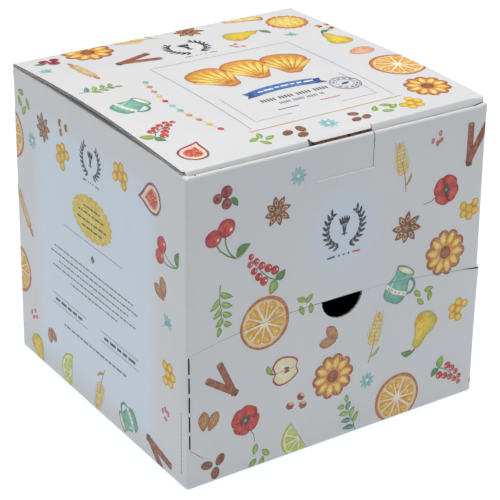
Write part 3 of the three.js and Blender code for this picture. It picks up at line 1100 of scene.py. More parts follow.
def leaf_sprig(brush, draw):
    brush.line([(-2, -14), (0, -5), (0.6, 5), (3, 13)], 0.7, PINE, 0, 0.4)
    for k in range(7):
        y = -9 + 3.2 * k
        side = 1 if k % 2 else -1
        length = mix(9.5, 6, k / 6)
        start = (0.1 * k - 0.6, y)
        end = (start[0] + side * length * 0.86, y + length * 0.62)
        deep, pale = (PINE, TEAL_DEEP) if draw.random() < 0.3 else (GREEN_DEEP, GREEN)
        brush.fill(blade(start, end, 3.9, side * 0.6, 7), deep, pale, 1)
        brush.line([start, (mix(start[0], end[0], 0.8), mix(start[1], end[1], 0.8))], 0.3, CREAM, 2, 0.1)
    brush.fill(blade((3, 12), (5.4, 18), 3.4, 0.4, 7), GREEN_DEEP, GREEN, 1)


def biscuit(brush, draw):
    radius = 15.5
    brush.fill(lobed(radius, 18, 0.09), ORANGE_DEEP, GOLD, 0, (1, 1))
    brush.fill(oval(0, 0, radius * 0.8, radius * 0.8, wobble=0.02), GOLD, GOLD_LIGHT, 1, (1, 1))
    for ring, count in ((0.22, 4), (0.56, 9)):
        for k in range(count):
            a = 2 * math.pi * k / count + ring
            brush.dot(radius * ring * math.cos(a), radius * ring * math.sin(a), 0.7, ORANGE_DEEP, 2)
    for _ in range(60):
        a, r = draw.uniform(0, 6.3), radius * math.sqrt(draw.random()) * 0.9
        side = draw.uniform(0.35, 0.6)
        turn = draw.uniform(0, 3)
        x, y = r * math.cos(a), r * math.sin(a)
        corners = [(x + side * math.cos(turn + q), y + side * math.sin(turn + q)) for q in (0, 1.6, 3.1, 4.7)]
        brush.fill(corners, CREAM, WHITE, 3)


def star_anise(brush, draw):
    for k in range(8):
        a = 2 * math.pi * k / 8 + 0.1 * draw.random()
        long = draw.uniform(9.5, 12)
        tip = (long * math.cos(a), long * math.sin(a))
        brush.fill(blade((1.4 * math.cos(a), 1.4 * math.sin(a)), tip, 4.6, 0.3, 8), BROWN_DEEP, BROWN, 0)
        r = long * 0.55
        brush.fill(oval(r * math.cos(a), r * math.sin(a), 2.3, 1.2, a, count=12), TAN_DEEP, TAN, 1)
        brush.fill(oval(r * math.cos(a), r * math.sin(a), 1.3, 0.7, a, count=10), BROWN_DEEP, BROWN_DEEP, 2)
    brush.fill(oval(0, 0, 1.8, 1.8, count=12), BROWN_DEEP, TAN_DEEP, 1)


def cinnamon(brush, draw):
    for turn, x, y, layer in ((0.35, -1, 2.6, 0), (-0.18, 0.6, -3, 2)):
        stick = brush.sub(x, y, turn)
        stick.fill([(-14, -2.4), (14, -2.6), (14.4, 0), (14, 2.4), (-14, 2.6), (-14.6, 0)], BROWN_DEEP, BROWN, layer)
        for k in range(4):
            level = -1.6 + 1.05 * k
            stick.line([(-12.6, level), (0, level + 0.3), (12.4, level)], 0.3, ORANGE_DEEP, layer + 1, 0.15)
        stick.fill(oval(14, 0, 1.3, 2.5, count=14), BROWN_DEEP, TAN_DEEP, layer + 1)
        stick.dot(14, 0.9, 0.5, BROWN_DEEP, layer + 2)
        stick.dot(14, -0.9, 0.5, BROWN_DEEP, layer + 2)


def coffee_beans(brush, draw):
    for k in range(3):
        a = 2 * math.pi * k / 3 + draw.uniform(-0.3, 0.3)
        bean = brush.sub(5.2 * math.cos(a), 5.2 * math.sin(a), draw.uniform(0, 3))
        bean.fill(oval(0, 0, 4.1, 2.9, count=18), BROWN_DEEP, BROWN, 0, (0.5, 0.6))
        bean.line([(-3.6, 0), (-1.2, 0.7), (1.2, -0.6), (3.6, 0)], 0.55, (78, 42, 34), 1)


def green_seeds(brush, draw):
    for k in range(4):
        a = 2 * math.pi * k / 4 + draw.uniform(-0.4, 0.4)
        r = draw.uniform(4.4, 7)
        seed = brush.sub(r * math.cos(a), r * math.sin(a), draw.uniform(0, 6.3))
        seed.fill(blade((-4.3, 0), (4.3, 0), 4.4, 0, 8), GREEN_DEEP, GREEN, 0, (0, 0.4))
        seed.line([(-2.8, 0.2), (2.6, 0.4)], 0.4, (206, 220, 140), 1, 0.15)


def almonds(brush, draw):
    for x, y, turn in ((-3.2, 0.6, 1.0), (3.2, -0.8, 1.75)):
        nut = brush.sub(x, y, turn + draw.uniform(-0.2, 0.2))
        body = loop_through([(-6, 0), (-3, 3.2), (1.5, 3.4), (6.6, 0), (1.5, -3.2), (-3, -3.2)], 4)
        nut.fill(body, BROWN, TAN_DEEP, 0, (0, 0.8))
        for level in (-1.5, 0, 1.5):
            nut.line([(-4.2, level), (0, level * 1.2), (4.6, level * 0.3)], 0.28, BROWN, 1, 0.1)


def jug(brush, draw):
    handle = arc(7.4, 1, 5.2, -1.5, 1.7)
    brush.line(handle, 2, TEAL_DEEP, 0)
    body = loop_through([(-7.2, 10), (0, 8.4), (7.6, 10), (6.8, 4), (9.2, -4), (7, -11), (0, -12.6), (-7, -11), (-9.2, -4), (-6.6, 4)])
    brush.fill(body, TEAL_DEEP, TEAL, 1, (-2, 1))
    brush.fill(oval(0, 10, 7.7, 2.5), TEAL_DEEP, TEAL_DEEP, 2)
    brush.fill(oval(0, 9.7, 6.5, 1.8), TAN, CREAM, 3)
    brush.fill([(-8.9, -2.6), (0, -3.8), (8.9, -2.6), (9.1, -5.4), (0, -6.8), (-9.1, -5.4)], CREAM, WHITE, 2)
    for k in range(5):
        brush.dot(-6.6 + 3.3 * k, -4.6 - 0.35 * (2 - abs(k - 2)), 0.7, ORANGE, 3)
    brush.fill(blade((-5.6, -10), (-6, 6), 1.6, -0.8), TEAL, (180, 222, 208), 2)


def rolling_pin(brush, draw):
    brush.fill(oval(-16, 0, 3.6, 1.5, count=14), ORANGE_DEEP, TAN_DEEP, 0)
    brush.fill(oval(16, 0, 3.6, 1.5, count=14), ORANGE_DEEP, TAN_DEEP, 0)
    brush.fill([(-12.6, -2.9), (0, -3.2), (12.6, -2.9), (13.2, 0), (12.6, 2.9), (0, 3.2), (-12.6, 2.9), (-13.2, 0)],
               TAN_DEEP, TAN, 1, (0, 1))
    for level in (-1.7, -0.4, 1.3):
        brush.line([(-11, level), (0, level - 0.3), (11, level + 0.1)], 0.25, TAN_DEEP, 2, 0.1)


def daisy(brush, draw):
    for k in range(9):
        a = 2 * math.pi * k / 9 + 0.15 * draw.random()
        tip = (6.2 * math.cos(a), 6.2 * math.sin(a))
        brush.fill(blade((1.2 * math.cos(a), 1.2 * math.sin(a)), tip, 2.4, 0.2, 6), SKY_DEEP, SKY, 0)
    brush.fill(oval(0, 0, 1.6, 1.6, count=12), SKY_DEEP, CREAM, 1)


def cornflower(brush, draw):
    """A small pale blue flower seen from the side."""
    brush.line([(0, -1), (0.6, -8)], 0.5, SKY_DEEP, 0, 0.3)
    for k in range(5):
        a = math.pi * (0.1 + 0.2 * k)
        brush.fill(blade((0, 0), (6.4 * math.cos(a), 6.4 * math.sin(a)), 2.1, 0.3, 6), SKY_DEEP, SKY, 1)
    brush.fill(oval(0, -0.8, 1.7, 1.9, count=12), SKY_DEEP, SKY_DEEP, 2)


def egg(brush, draw):
    body = loop_through([(0, 10.5), (5.4, 5.6), (7.4, -2.4), (4.8, -8.8), (0, -10.6), (-4.8, -8.8), (-7.4, -2.4), (-5.4, 5.6)])
    brush.fill(body, (204, 132, 98), (236, 184, 150), 0, (-2, 2.4))
    for _ in range(16):
        a, r = draw.uniform(0, 6.3), draw.uniform(1, 7)
        brush.dot(r * 0.8 * math.cos(a), r * math.sin(a) - 1, 0.22, (196, 128, 96), 1)


def sugar_cubes(brush, draw):
    for k in range(3):
        a = 2 * math.pi * k / 3 + draw.uniform(-0.5, 0.5)
        cube = brush.sub(5 * math.cos(a), 5 * math.sin(a), draw.uniform(-0.5, 0.5))
        cube.fill([(-2.4, 0.6), (0.6, 2), (3.2, 0.8), (0.2, -0.7)], TAN_DEEP, TAN, 0)
        cube.fill([(-2.4, 0.6), (0.2, -0.7), (0.2, -3.6), (-2.4, -2.3)], BROWN, BROWN, 0)
        cube.fill([(0.2, -0.7), (3.2, 0.8), (3.2, -2.1), (0.2, -3.6)], BROWN_DEEP, BROWN, 0)


def poppy(brush, draw):
    brush.line([(0, -4), (2.2, -11), (1.4, -17)], 0.7, GREEN_DEEP, 0, 0.5)
    for turn, tone in ((2.4, RED), (0.8, RED), (-0.75, RED), (3.95, RED)):
        petal = brush.sub(4.6 * math.cos(turn), 4.6 * math.sin(turn) + 2, turn)
        outline = loop_through([(-4, 0), (-2.5, 4.6), (2, 6.4), (5, 4), (5.6, 0), (5, -4), (2, -6.4), (-2.5, -4.6)], 4)
        petal.fill(outline, shade(RED_DEEP, draw.uniform(1, 1.15)), tone, 1 if abs(turn) < 1 else 2, (1.4, 0))
    brush.fill(oval(0, 2, 2.8, 2.8, wobble=0.04), INK, (76, 60, 66), 3)
    for k in range(12):
        a = 2 * math.pi * k / 12
        brush.dot(3.7 * math.cos(a), 2 + 3.7 * math.sin(a), 0.42, INK, 3)
    brush.dot(0, 2, 1, OLIVE, 4)


def fig_half(brush, draw):
    skin = loop_through([(0, 13), (2.4, 9), (8.4, 1), (9.4, -6), (5, -11.4), (0, -12.4), (-5, -11.4), (-9.4, -6), (-8.4, 1), (-2.4, 9)])
    brush.fill(skin, PLUM, (170, 84, 104), 0)
    inner = [(x * 0.83, (y + 2) * 0.82 - 2.4) for x, y in skin]
    brush.fill(inner, CREAM, (238, 206, 190), 1)
    core = [(x * 0.62, (y + 2) * 0.56 - 3) for x, y in skin]
    brush.fill(core, PINK, RED, 2)
    for _ in range(34):
        a, r = draw.uniform(0, 6.3), math.sqrt(draw.random())
        brush.dot(5 * r * math.cos(a), -3.4 + 6 * r * math.sin(a), 0.34, GOLD_LIGHT, 3)


def dark_berries(brush, draw):
    for x, y, r in ((-3.6, 0, 3.9), (3.6, 1.4, 3.5), (0.4, -5.4, 3.2)):
        brush.fill(oval(x, y, r, r, wobble=0.01, count=18), (116, 30, 48), (168, 52, 66), 0, (-0.8, 1))
        brush.dot(x + 0.4, y + 0.2, r * 0.3, (88, 22, 40), 1)
    brush.fill(blade((0, 3.4), (5.4, 9.4), 4, 0.6), PINE, GREEN_DEEP, 1)


def honeycomb(brush, draw):
    cells = [(0, 0)] + [(6.3 * math.cos(math.pi * k / 3), 6.3 * math.sin(math.pi * k / 3)) for k in range(6)]
    for x, y in cells[:6]:
        corners = [(math.pi / 6 + math.pi * k / 3) for k in range(6)]
        brush.fill([(x + 3.6 * math.cos(a), y + 3.6 * math.sin(a)) for a in corners], YELLOW_DEEP, YELLOW_DEEP, 0)
        brush.fill([(x + 2.7 * math.cos(a), y + 2.7 * math.sin(a)) for a in corners], GOLD, YELLOW, 1, (0.4, 0.6))


def apple_half(brush, draw):
    skin = loop_through([(0, 8.6), (5, 10.4), (9.8, 6), (9.4, -2), (5, -9), (0, -8), (-5, -9), (-9.4, -2), (-9.8, 6), (-5, 10.4)])
    brush.fill(skin, RED_DEEP, RED, 0)
    brush.fill([(x * 0.88, y * 0.88) for x, y in skin], (236, 222, 160), CREAM, 1)
    brush.line([(0, 7.6), (0, -6.6)], 0.5, TAN_DEEP, 2)
    for side in (-1, 1):
        brush.fill(blade((side * 1, -2.6), (side * 1.9, 2), 2, side * 0.3, 6), BROWN_DEEP, BROWN, 3)
    brush.line([(0, 8.6), (1, 12.4)], 1, BROWN_DEEP, 1)
    brush.fill(blade((0.8, 10.6), (8, 14), 4, 0.8), GREEN_DEEP, GREEN, 2)


def petals(brush, draw):
    for k in range(4):
        a = 2 * math.pi * k / 4 + draw.uniform(-0.5, 0.5)
        r = draw.uniform(2.6, 4.6)
        petal = brush.sub(r * math.cos(a), r * math.sin(a), draw.uniform(0, 6))
        petal.fill(oval(0, 0, 2.1, 1.4, count=12), RED_DEEP, PINK, 0)


def sponge_finger(brush, draw):
    body = loop_through([(-15, 0), (-13.4, 3.8), (-8, 4.3), (0, 3.9), (8, 4.3), (13.4, 3.8), (15, 0),
                         (13.4, -3.8), (8, -4.3), (0, -3.9), (-8, -4.3), (-13.4, -3.8)], 4)
    brush.fill(body, ORANGE_DEEP, GOLD, 0, (0, 1))
    brush.fill([(x * 0.86, y * 0.7 + 0.4) for x, y in body], GOLD, GOLD_LIGHT, 1, (0, 0.5))
    for _ in range(70):
        x, y = draw.uniform(-13, 13), draw.uniform(-3, 3.2)
        brush.dot(x, y, draw.uniform(0.25, 0.5), WHITE, 2)


def bundt(brush, draw):
    """A ring cake with flutes, seen from above."""
    brush.fill(lobed(17, 10, 0.16), BROWN, ORANGE, 0)
    for k in range(10):
        a = 2 * math.pi * (k + 0.5) / 10
        start = (5.4 * math.cos(a), 5.4 * math.sin(a))
        end = (15.6 * math.cos(a), 15.6 * math.sin(a))
        brush.fill(blade(start, end, 5.2, 0.5, 7), ORANGE, GOLD_LIGHT, 1)
    brush.fill(oval(0, 0, 4.6, 4.6), BROWN_DEEP, BROWN, 2)
    for _ in range(40):
        a, r = draw.uniform(0, 6.3), draw.uniform(6, 15)
        brush.dot(r * math.cos(a), r * math.sin(a), draw.uniform(0.2, 0.45), WHITE, 3)


# Motifs by how much room each takes
LARGE = [(orange_slice, 20), (biscuit, 18), (bundt, 19), (pear, 18), (poppy, 17)]
MIDDLE = [(jug, 15), (cherries, 15), (currants, 15), (wheat_ear, 16), (leaf_sprig, 16), (fig_half, 15), (apple_half, 14),
          (half_slice, 15), (cinnamon, 15), (rolling_pin, 16), (star_anise, 13), (egg, 12), (sponge_finger, 15)]
SMALL = [(green_seeds, 11), (coffee_beans, 10), (almonds, 9.5), (sugar_cubes, 9), (daisy, 8), (cornflower, 9),
         (dark_berries, 10), (honeycomb, 11), (petals, 7), (green_seeds, 10)]


def scatter(patches, low, high, clear, numbers, seed):
    """Spreads motifs evenly over a rectangle, the large ones first, clear of what is kept free."""
    draw = random.Random(seed)
    placed = []
    for kinds, number in zip((LARGE, MIDDLE, SMALL), numbers):
        order = kinds * (number // len(kinds) + 1)
        draw.shuffle(order)
        for motif, reach in order[:number]:
            best, best_gap = None, 0
            for _ in range(320):
                x, y = draw.uniform(low[0], high[0]), draw.uniform(low[1], high[1])
                gaps = [math.hypot(x - px, y - py) - reach - pr for px, py, pr in placed]
                gaps += [distance(x, y) - reach for distance in clear]
                gap = min(gaps, default=50)
                if gap > best_gap:
                    best, best_gap = (x, y), gap
                    if gap > 12:
                        break
            if best:
                placed.append((best[0], best[1], reach))
                size = draw.uniform(1.0, 1.2)
                motif(Brush(patches, best[0], best[1], draw.uniform(0, 2 * math.pi), size), draw)


def off_box(x0, y0, x1, y1):
    """How far a place is from a rectangle that is kept free."""
    def distance(x, y):
        return math.hypot(max(x0 - x, 0, x - x1), max(y0 - y, 0, y - y1))
    return distance


def off_round(cx, cy, half_width, half_height):
    def distance(x, y):
        share = math.hypot((x - cx) / half_width, (y - cy) / half_height)
        return (share - 1) * min(half_width, half_height)
    return distance


# Designs of the faces


def greeked(brush, x, y, length, height, color, draw, layer=1):
    """A line of short strokes in the place of words, about a middle."""
    spot = x - length / 2
    end = x + length / 2
    while spot < end - 1.5 * height:
        word = min(draw.uniform(1.6, 5.5) * height, end - spot)
        brush.line([(spot, y), (spot + word, y)], height, color, layer)
        spot += word + 0.9 * height


def tally(brush, x, y, length, height, color, layer=1):
    """A row of short upright marks in the place of a title."""
    pitch = height * 0.56
    count = round(length / pitch)
    for k in range(count):
        cx = x - length / 2 + pitch * (k + 0.5)
        if k % 6 != 5:
            brush.line([(cx, y - height / 2), (cx, y + height / 2)], height * 0.3, color, layer)


def crest(brush):
    """A plain wreath of leaves in dark ink, with a sheaf in it and a row of marks under it."""
    for side in (-1, 1):
        for k, angle in enumerate(steps(-1.25, 0.75, 8)):
            x, y = side * 15 * math.cos(angle), 2 + 15 * math.sin(angle)
            if k:
                brush.line([before, (x, y)], 0.7, INK, 0)
            before = (x, y)
            for way, long in ((0.75, 5.4), (-0.6, 4.6)):
                lean = angle + math.pi / 2 - way
                tip = (x + side * long * math.cos(lean), y + long * math.sin(lean))
                brush.fill(blade((x, y), tip, 2.1, 0.2 * side, 6), INK, INK, 1)
    for lean in (-0.5, -0.25, 0, 0.25, 0.5):
        top = (9.5 * math.sin(lean), 2 + 8.5 * math.cos(lean))
        brush.line([(0, -5), (0.4 * top[0], 0.35 * top[1])], 0.6, INK, 0)
        brush.fill(blade((0.4 * top[0], 0.35 * top[1]), top, 2, 0, 6), INK, INK, 1)
    brush.line([(-2.4, -3.2), (2.4, -3.2)], 1, INK, 1)
    brush.line([(-14, -19), (-7.5, -18.6)], 1.3, BLUE_DEEP, 0)
    brush.line([(7.5, -18.6), (14, -19)], 1.3, RED, 0)
    for x in (-4, 0, 4):
        brush.fill([(x - 1, -18.7), (x, -17.7), (x + 1, -18.7), (x, -19.7)], INK, INK, 0)


FINE_INSET = 7  # of the upright row of fine strokes, from the fold
FINE_HEIGHT = 34
FINE_LENGTH = 48


def side_panel(patches, face, start, seed):
    """The words' place on a side wall: a badge, lines of strokes and two ruled bars."""
    draw = random.Random(seed)
    crest(Brush(patches, start, 196, 0, 0.82))
    badge = Brush(patches, start, 153)
    badge.fill([(29 * x, 17 * y) for x, y in lobed(1, 22, 0.07)], (220, 190, 78), (232, 206, 92))
    for y, length in ((7.5, 24), (2.5, 38), (-3.5, 42), (-8.5, 30)):
        greeked(badge, 0, y, length, 1.3, INK, draw)
    page = Brush(patches, start, 0)
    page.line([(-43, 133), (43, 133)], 0.4, INK_GREY)
    page.fill([(-3, 122), (0, 125.4), (3, 122), (0, 118.6)], INK_GREY, INK_GREY)
    for k, length in enumerate((116, 128, 104, 122, 70)):
        greeked(page, 0, 111 - 5.6 * k, length, 1.1, INK_GREY, draw)
    for x in (-37, 37):
        for y in (70.5, 62.5):
            page.line([(x - 27, y), (x + 27, y)], 0.4, INK_GREY)
        greeked(page, x, 66.5, 44, 2.1, INK, draw)
    greeked(page, 0, 50, 92, 1.5, INK_GREY, draw)
    upright = Brush(patches, FACE_STARTS[face] + DEPTH - FINE_INSET, FINE_HEIGHT, math.pi / 2)
    greeked(upright, 0, 0, FINE_LENGTH, 0.7, INK_GREY, draw)


SIDE_PANEL_LEFT = FACE_STARTS["left"] + (FIELD_BACK + DEPTH - FIELD_FRONT) / 2
SIDE_PANEL_RIGHT = FACE_STARTS["right"] + (FIELD_FRONT + DEPTH - FIELD_BACK) / 2
CREST_FRONT = WIDTH / 2 + GLOW_X
CREST_BACK = FACE_STARTS["back"] + WIDTH / 2 - GLOW_X


def wall_design():
    patches = []
    hole = WIDTH / 2 + HOLE_X
    flap_end = WIDTH / 2 + FLAP_HALF_WIDTH
    right = FACE_STARTS["right"]
    clear = [
        off_round(CREST_FRONT, GLOW_Z, GLOW_HALF_WIDTH, GLOW_HALF_HEIGHT),
        off_round(CREST_BACK, GLOW_Z, GLOW_HALF_WIDTH, GLOW_HALF_HEIGHT),
        off_box(hole - HOLE_RADIUS, HOLE_TOP - HOLE_HEIGHT, hole + HOLE_RADIUS, HOLE_TOP),
        off_box(WIDTH / 2 - FLAP_HALF_WIDTH, WALL_HEIGHT - FLAP_HEIGHT, flap_end, WALL_HEIGHT),
        off_box(right, SLANT_TOP, right + 4, FIRST_DASH_TOP + 8),
        off_box(0, SLANT_TOP - SLANT_HEIGHT, 4, FIRST_DASH_TOP + 4),
        off_box(PERIMETER - FINE_INSET - 2, FINE_HEIGHT - FINE_LENGTH / 2, PERIMETER, FINE_HEIGHT + FINE_LENGTH / 2),
        off_box(0, WALL_HEIGHT - 3, PERIMETER, 2 * WALL_HEIGHT),
        off_box(-2, 0, 2, WALL_HEIGHT),
        off_box(PERIMETER - 2, 0, PERIMETER + 2, WALL_HEIGHT),
    ]
    half = (DEPTH - FIELD_FRONT - FIELD_BACK) / 2 - 3
    for middle in (SIDE_PANEL_LEFT, SIDE_PANEL_RIGHT):
        clear += [off_box(middle - half, 44, middle + half, 172), off_round(middle, 196, 22, 22)]
    scatter(patches, (6, 6), (PERIMETER - 5, WALL_HEIGHT - 8), clear, (20, 44, 60), 17)
    crest(Brush(patches, CREST_FRONT, GLOW_Z + 2))
    crest(Brush(patches, CREST_BACK, GLOW_Z + 2))
    side_panel(patches, "left", SIDE_PANEL_LEFT, 3)
    side_panel(patches, "right", SIDE_PANEL_RIGHT, 3)
    # A pure white line along the flap's crease: a painted highlight where the pressed crease catches the light
    crease_highlight = Brush(patches, WIDTH / 2, WALL_HEIGHT - FLAP_HEIGHT)
    crease_highlight.line([(x, 0.25 * math.sin(x / 2.3)) for x in steps(-FLAP_HALF_WIDTH + 2, FLAP_HALF_WIDTH + FLAP_GAP, 16)],
                1, (255, 255, 255), 5)
    return patches


def shell_cake(brush, tone):
    """A golden shell-shaped cake seen on its ribbed side."""
    outline = loop_through([(0, -21), (5, -20), (8.5, -14), (15, -3), (17.6, 8), (13.6, 16.4), (5, 20), (-5, 20), (-13.6, 16.4),
                            (-17.6, 8), (-15, -3), (-8.5, -14), (-5, -20)])
    brush.fill(outline, shade(ORANGE_DEEP, tone), shade(GOLD, tone), 0, (-2, 3))
    for k in range(7):
        angle = math.pi / 2 + (k - 3) * 0.235
        start = (5 * math.cos(angle), -18 + 5 * math.sin(angle))
        reach = 35.5 - 0.55 * (k - 3) ** 2
        end = (reach * math.cos(angle), -18 + reach * math.sin(angle))
        brush.fill(blade(start, end, 5, 0, 8), shade(ORANGE, tone), shade(GOLD_LIGHT, tone), 1, (-0.6, 1))
        if k:
            side = angle - 0.118
            tip = (0.94 * reach * math.cos(side), -18 + 0.94 * reach * math.sin(side))
            brush.line([(4 * math.cos(side), -18 + 4 * math.sin(side)), tip], 0.9, ORANGE_DEEP, 2, 0.3)


CARD_LEFT, CARD_RIGHT, CARD_FRONT, CARD_BACK = -50, 70, -84, 48


def card(patches):
    """The framed picture on the lid: three cakes, a ribbon, strokes in the place of words, and a stamp."""
    draw = random.Random(8)
    middle = (CARD_LEFT + CARD_RIGHT) / 2
    page = Brush(patches, 0, 0)
    page.line([(CARD_LEFT, CARD_FRONT), (CARD_LEFT, CARD_BACK), (CARD_RIGHT, CARD_BACK), (CARD_RIGHT, CARD_FRONT)], 0.4, INK_GREY)
    page.line([(CARD_LEFT - 4, CARD_FRONT - 3), (CARD_RIGHT + 4, CARD_FRONT - 3)], 0.9, YELLOW_DEEP)
    inner = 9
    for x, way in ((CARD_LEFT + inner, 1), (CARD_RIGHT - inner, -1)):
        page.line([(x, -30), (x, CARD_FRONT + inner), (x + way * 30, CARD_FRONT + inner)], 0.35, INK_GREY)
    for x, turn, tone in ((-31, 0.3, 1), (0, 0.02, 1.03), (31, -0.32, 0.98)):
        shell_cake(Brush(patches, middle + x, 10 - abs(x) * 0.1, turn, 1.02), tone)
    ribbon(Brush(patches, middle, -31), draw)
    tally(page, middle, -48.5, 58, 4.4, INK)
    tally(page, middle, -56.5, 38, 3.4, INK_GREY)
    page.line([(middle - 26, -66), (middle - 9, -66)], 1, BLUE_DEEP)
    page.line([(middle + 9, -66), (middle + 26, -66)], 1, RED)
    stamp(Brush(patches, middle + 43, -49))
    beads(page)


def ribbon(brush, draw):
    for side in (-1, 1):
        tail = [(side * 22, -7.5), (side * 34, -9.5), (side * 30.6, -4.6), (side * 33, 0), (side * 22, 0.5)]
        brush.fill(tail, BLUE_DEEP, BLUE_DEEP, 3)
    upper = [(x, 4.6 - 0.0045 * x * x) for x in steps(-27, 27, 12)]
    lower = [(x, -5.4 - 0.0045 * x * x) for x in steps(27, -27, 12)]
    brush.fill(upper + lower, BLUE, (64, 120, 192), 4)
    spot = -21.0
    while spot < 20:
        word = draw.uniform(3, 8)
        y = -0.4 - 0.0045 * spot * spot
        brush.line([(spot, y), (spot + word, y)], 2, WHITE, 5)
        spot += word + 1.6


def stamp(brush):
    for radius, width in ((11.5, 0.5), (10.4, 0.35), (6.4, 0.35)):
        brush.line(arc(0, 0, radius, 0, 2 * math.pi, 36), width, BLUE_DEEP)
    for k in range(12):
        if k % 6:
            brush.line(arc(0, 0, 8.4, 2 * math.pi * k / 12 - 0.17, 2 * math.pi * k / 12 + 0.17, 3), 1.3, INK_GREY)
    brush.fill(blade((-4, -1), (4, 1), 3.4, 0, 6), BLUE_DEEP, BLUE_DEEP)


def beads(brush):
    """A hanging string of coloured beads beside the card."""
    string = [(-66 - 9 * math.sin(math.pi * t), mix(30, -78, t)) for t in steps(0, 1, 22)]
    brush.line(string, 0.35, TAN_DEEP, 0)
    tones = (TEAL, ORANGE, PINK, YELLOW, RED, SKY)
    for k, (x, y) in enumerate(string[1:-1:2]):
        tone = tones[k % len(tones)]
        brush.fill(oval(x, y, 2.3, 2.3, count=14), shade(tone, 0.85), tone, 1, (-0.5, 0.5))


def lid_design():
    patches = []
    clear = [
        off_box(CARD_LEFT - 27, CARD_FRONT - 4, CARD_RIGHT + 4, CARD_BACK + 2),
        off_round(0, 76, 24, 22),
        off_box(-WIDTH, -DEPTH, WIDTH, LID_FOLD_Y + 1),
        off_box(-WIDTH, -DEPTH, 1 - LID_HALF_WIDTH, DEPTH),
    ]
    scatter(patches, (-TOP_HALF_WIDTH + 6, LID_FOLD_Y + 6), (TOP_HALF_WIDTH - 5, TOP_HALF_DEPTH - 6), clear, (6, 12, 16), 5)
    crest(Brush(patches, 0, 77))
    card(patches)
    return patches


# Laying the design on the board


CORNERS = [
    (0, -1, -1, math.pi),
    (WIDTH, 1, -1, 1.5 * math.pi),
    (WIDTH + DEPTH, 1, 1, 0),
    (2 * WIDTH + DEPTH, -1, 1, 0.5 * math.pi),
    (PERIMETER, -1, -1, math.pi),
]


def on_plan(s):
    """A place on the unrolled walls as a place in the plan, with the direction outwards."""
    for start, side_x, side_y, angle in CORNERS:
        if abs(s - start) < FOLD_RADIUS:
            a = angle + (s - start + FOLD_RADIUS) / (2 * FOLD_RADIUS) * math.pi / 2
            x = side_x * (WIDTH / 2 - FOLD_RADIUS) + FOLD_RADIUS * math.cos(a)
            y = side_y * (DEPTH / 2 - FOLD_RADIUS) + FOLD_RADIUS * math.sin(a)
            return x, y, math.cos(a), math.sin(a)
    if s < WIDTH:
        return s - WIDTH / 2, -DEPTH / 2, 0, -1
    if s < WIDTH + DEPTH:
        return WIDTH / 2, s - WIDTH - DEPTH / 2, 1, 0
    if s < 2 * WIDTH + DEPTH:
        return WIDTH / 2 - (s - WIDTH - DEPTH), DEPTH / 2, 0, 1
    return -WIDTH / 2, DEPTH / 2 - (s - 2 * WIDTH - DEPTH), -1, 0


def on_wall(s, z, lift):
    x, y, out_x, out_y = on_plan(s)
    rise = BACK_RISE * (y / DEPTH + 0.5) * z / WALL_HEIGHT
    place = settled((x * flare_at(z), y * flare_at(z), z + rise))
    return place + Vector((out_x, out_y, 0)) * (lift + bulge_at(z))


def on_lid(x, y, lift):
    return Vector((x, y, lid_top(x, y) + lift))


def cut_patches(work, place, normal, keep_both=False):
    geometry = work.verts[:] + work.edges[:] + work.faces[:]
    bmesh.ops.bisect_plane(work, geom=geometry, plane_co=place, plane_no=normal, clear_outer=not keep_both)


def part_at_tear(work):
    """Parts the print along the tear line, which the board is slit at."""
    for vertex in work.verts:
        vertex.co.y -= tear_height(vertex.co.x - WIDTH / 2)
    half = TEAR_WIDTH / 2
    for level in (half, -half):
        cut_patches(work, (0, level, 0), (0, 1, 0), keep_both=True)
    slit = [face for face in work.faces if abs(face.calc_center_median().y) < half]
    bmesh.ops.delete(work, geom=slit, context="FACES")
    for vertex in work.verts:
        vertex.co.y += tear_height(vertex.co.x - WIDTH / 2)


def print_piece(name, patches, low, high, place, material, finish=None):
    """Cuts patches to a face, lays them on the board and makes them a piece."""
    work = bmesh.new()
    ink = work.verts.layers.float_color.new("ink")
    for points, faces, colors, layer in patches:
        if max(p[0] for p in points) < low[0] or min(p[0] for p in points) > high[0]:
            continue
        corners = []
        for (x, y), color in zip(points, colors):
            corner = work.verts.new((x, y, layer))
            corner[ink] = linear(*color)
            corners.append(corner)
        for face in faces:
            work.faces.new([corners[i] for i in face])
    for place_at, normal in (((low[0], 0, 0), (-1, 0, 0)), ((high[0], 0, 0), (1, 0, 0)),
                             ((0, low[1], 0), (0, -1, 0)), ((0, high[1], 0), (0, 1, 0))):
        cut_patches(work, place_at, normal)
    if finish:
        finish(work)
    sheet = work.loops.layers.uv.new("OFBake")
    for face in work.faces:
        face.normal_update()
        if face.normal.z < 0:
            face.normal_flip()
        for loop in face.loops:
            x, y, layer = loop.vert.co
            column, row = round(layer) % 2, round(layer) // 2
            u = 0.01 + 0.98 * (x - low[0]) / (high[0] - low[0])
            v = 0.01 + 0.98 * (y - low[1]) / (high[1] - low[1])
            loop[sheet].uv = ((column + u) / 2, (row + v) / 3)
    for vertex in work.verts:
        x, y, layer = vertex.co
        vertex.co = place(x, y, PRINT_LIFT + LAYER_LIFT * layer) * MM
    mesh = bpy.data.meshes.new(name)
    work.to_mesh(mesh)
    work.free()
    return piece_from(name, mesh, "print_ink", material)


def bend_steps(work, start, end):
    """Parts the print in the round of the folds at both sides of a face."""
    for k in (1, 2):
        for line in (start + FOLD_RADIUS * k / 2, end - FOLD_RADIUS * k / 2):
            cut_patches(work, (line, 0, 0), (1, 0, 0), keep_both=True)


def make_print():
    material = print_ink()
    patches = wall_design()
    for face, start in FACE_STARTS.items():
        end = start + FACE_WIDTHS[face]

        def finish(work):
            bend_steps(work, start, end)
            if face == "front":
                part_at_tear(work)

        print_piece("print_" + face, patches, (start, PRINT_LOW), (end, PRINT_HIGH), on_wall, material, finish)
    low = (-LID_HALF_WIDTH + 0.4, LID_FOLD_Y + 0.5)
    high = (LID_HALF_WIDTH - 0.4, LID_FOLD_Y + FLAT_LENGTH)
    print_piece("print_top", lid_design(), low, high, on_lid, material)


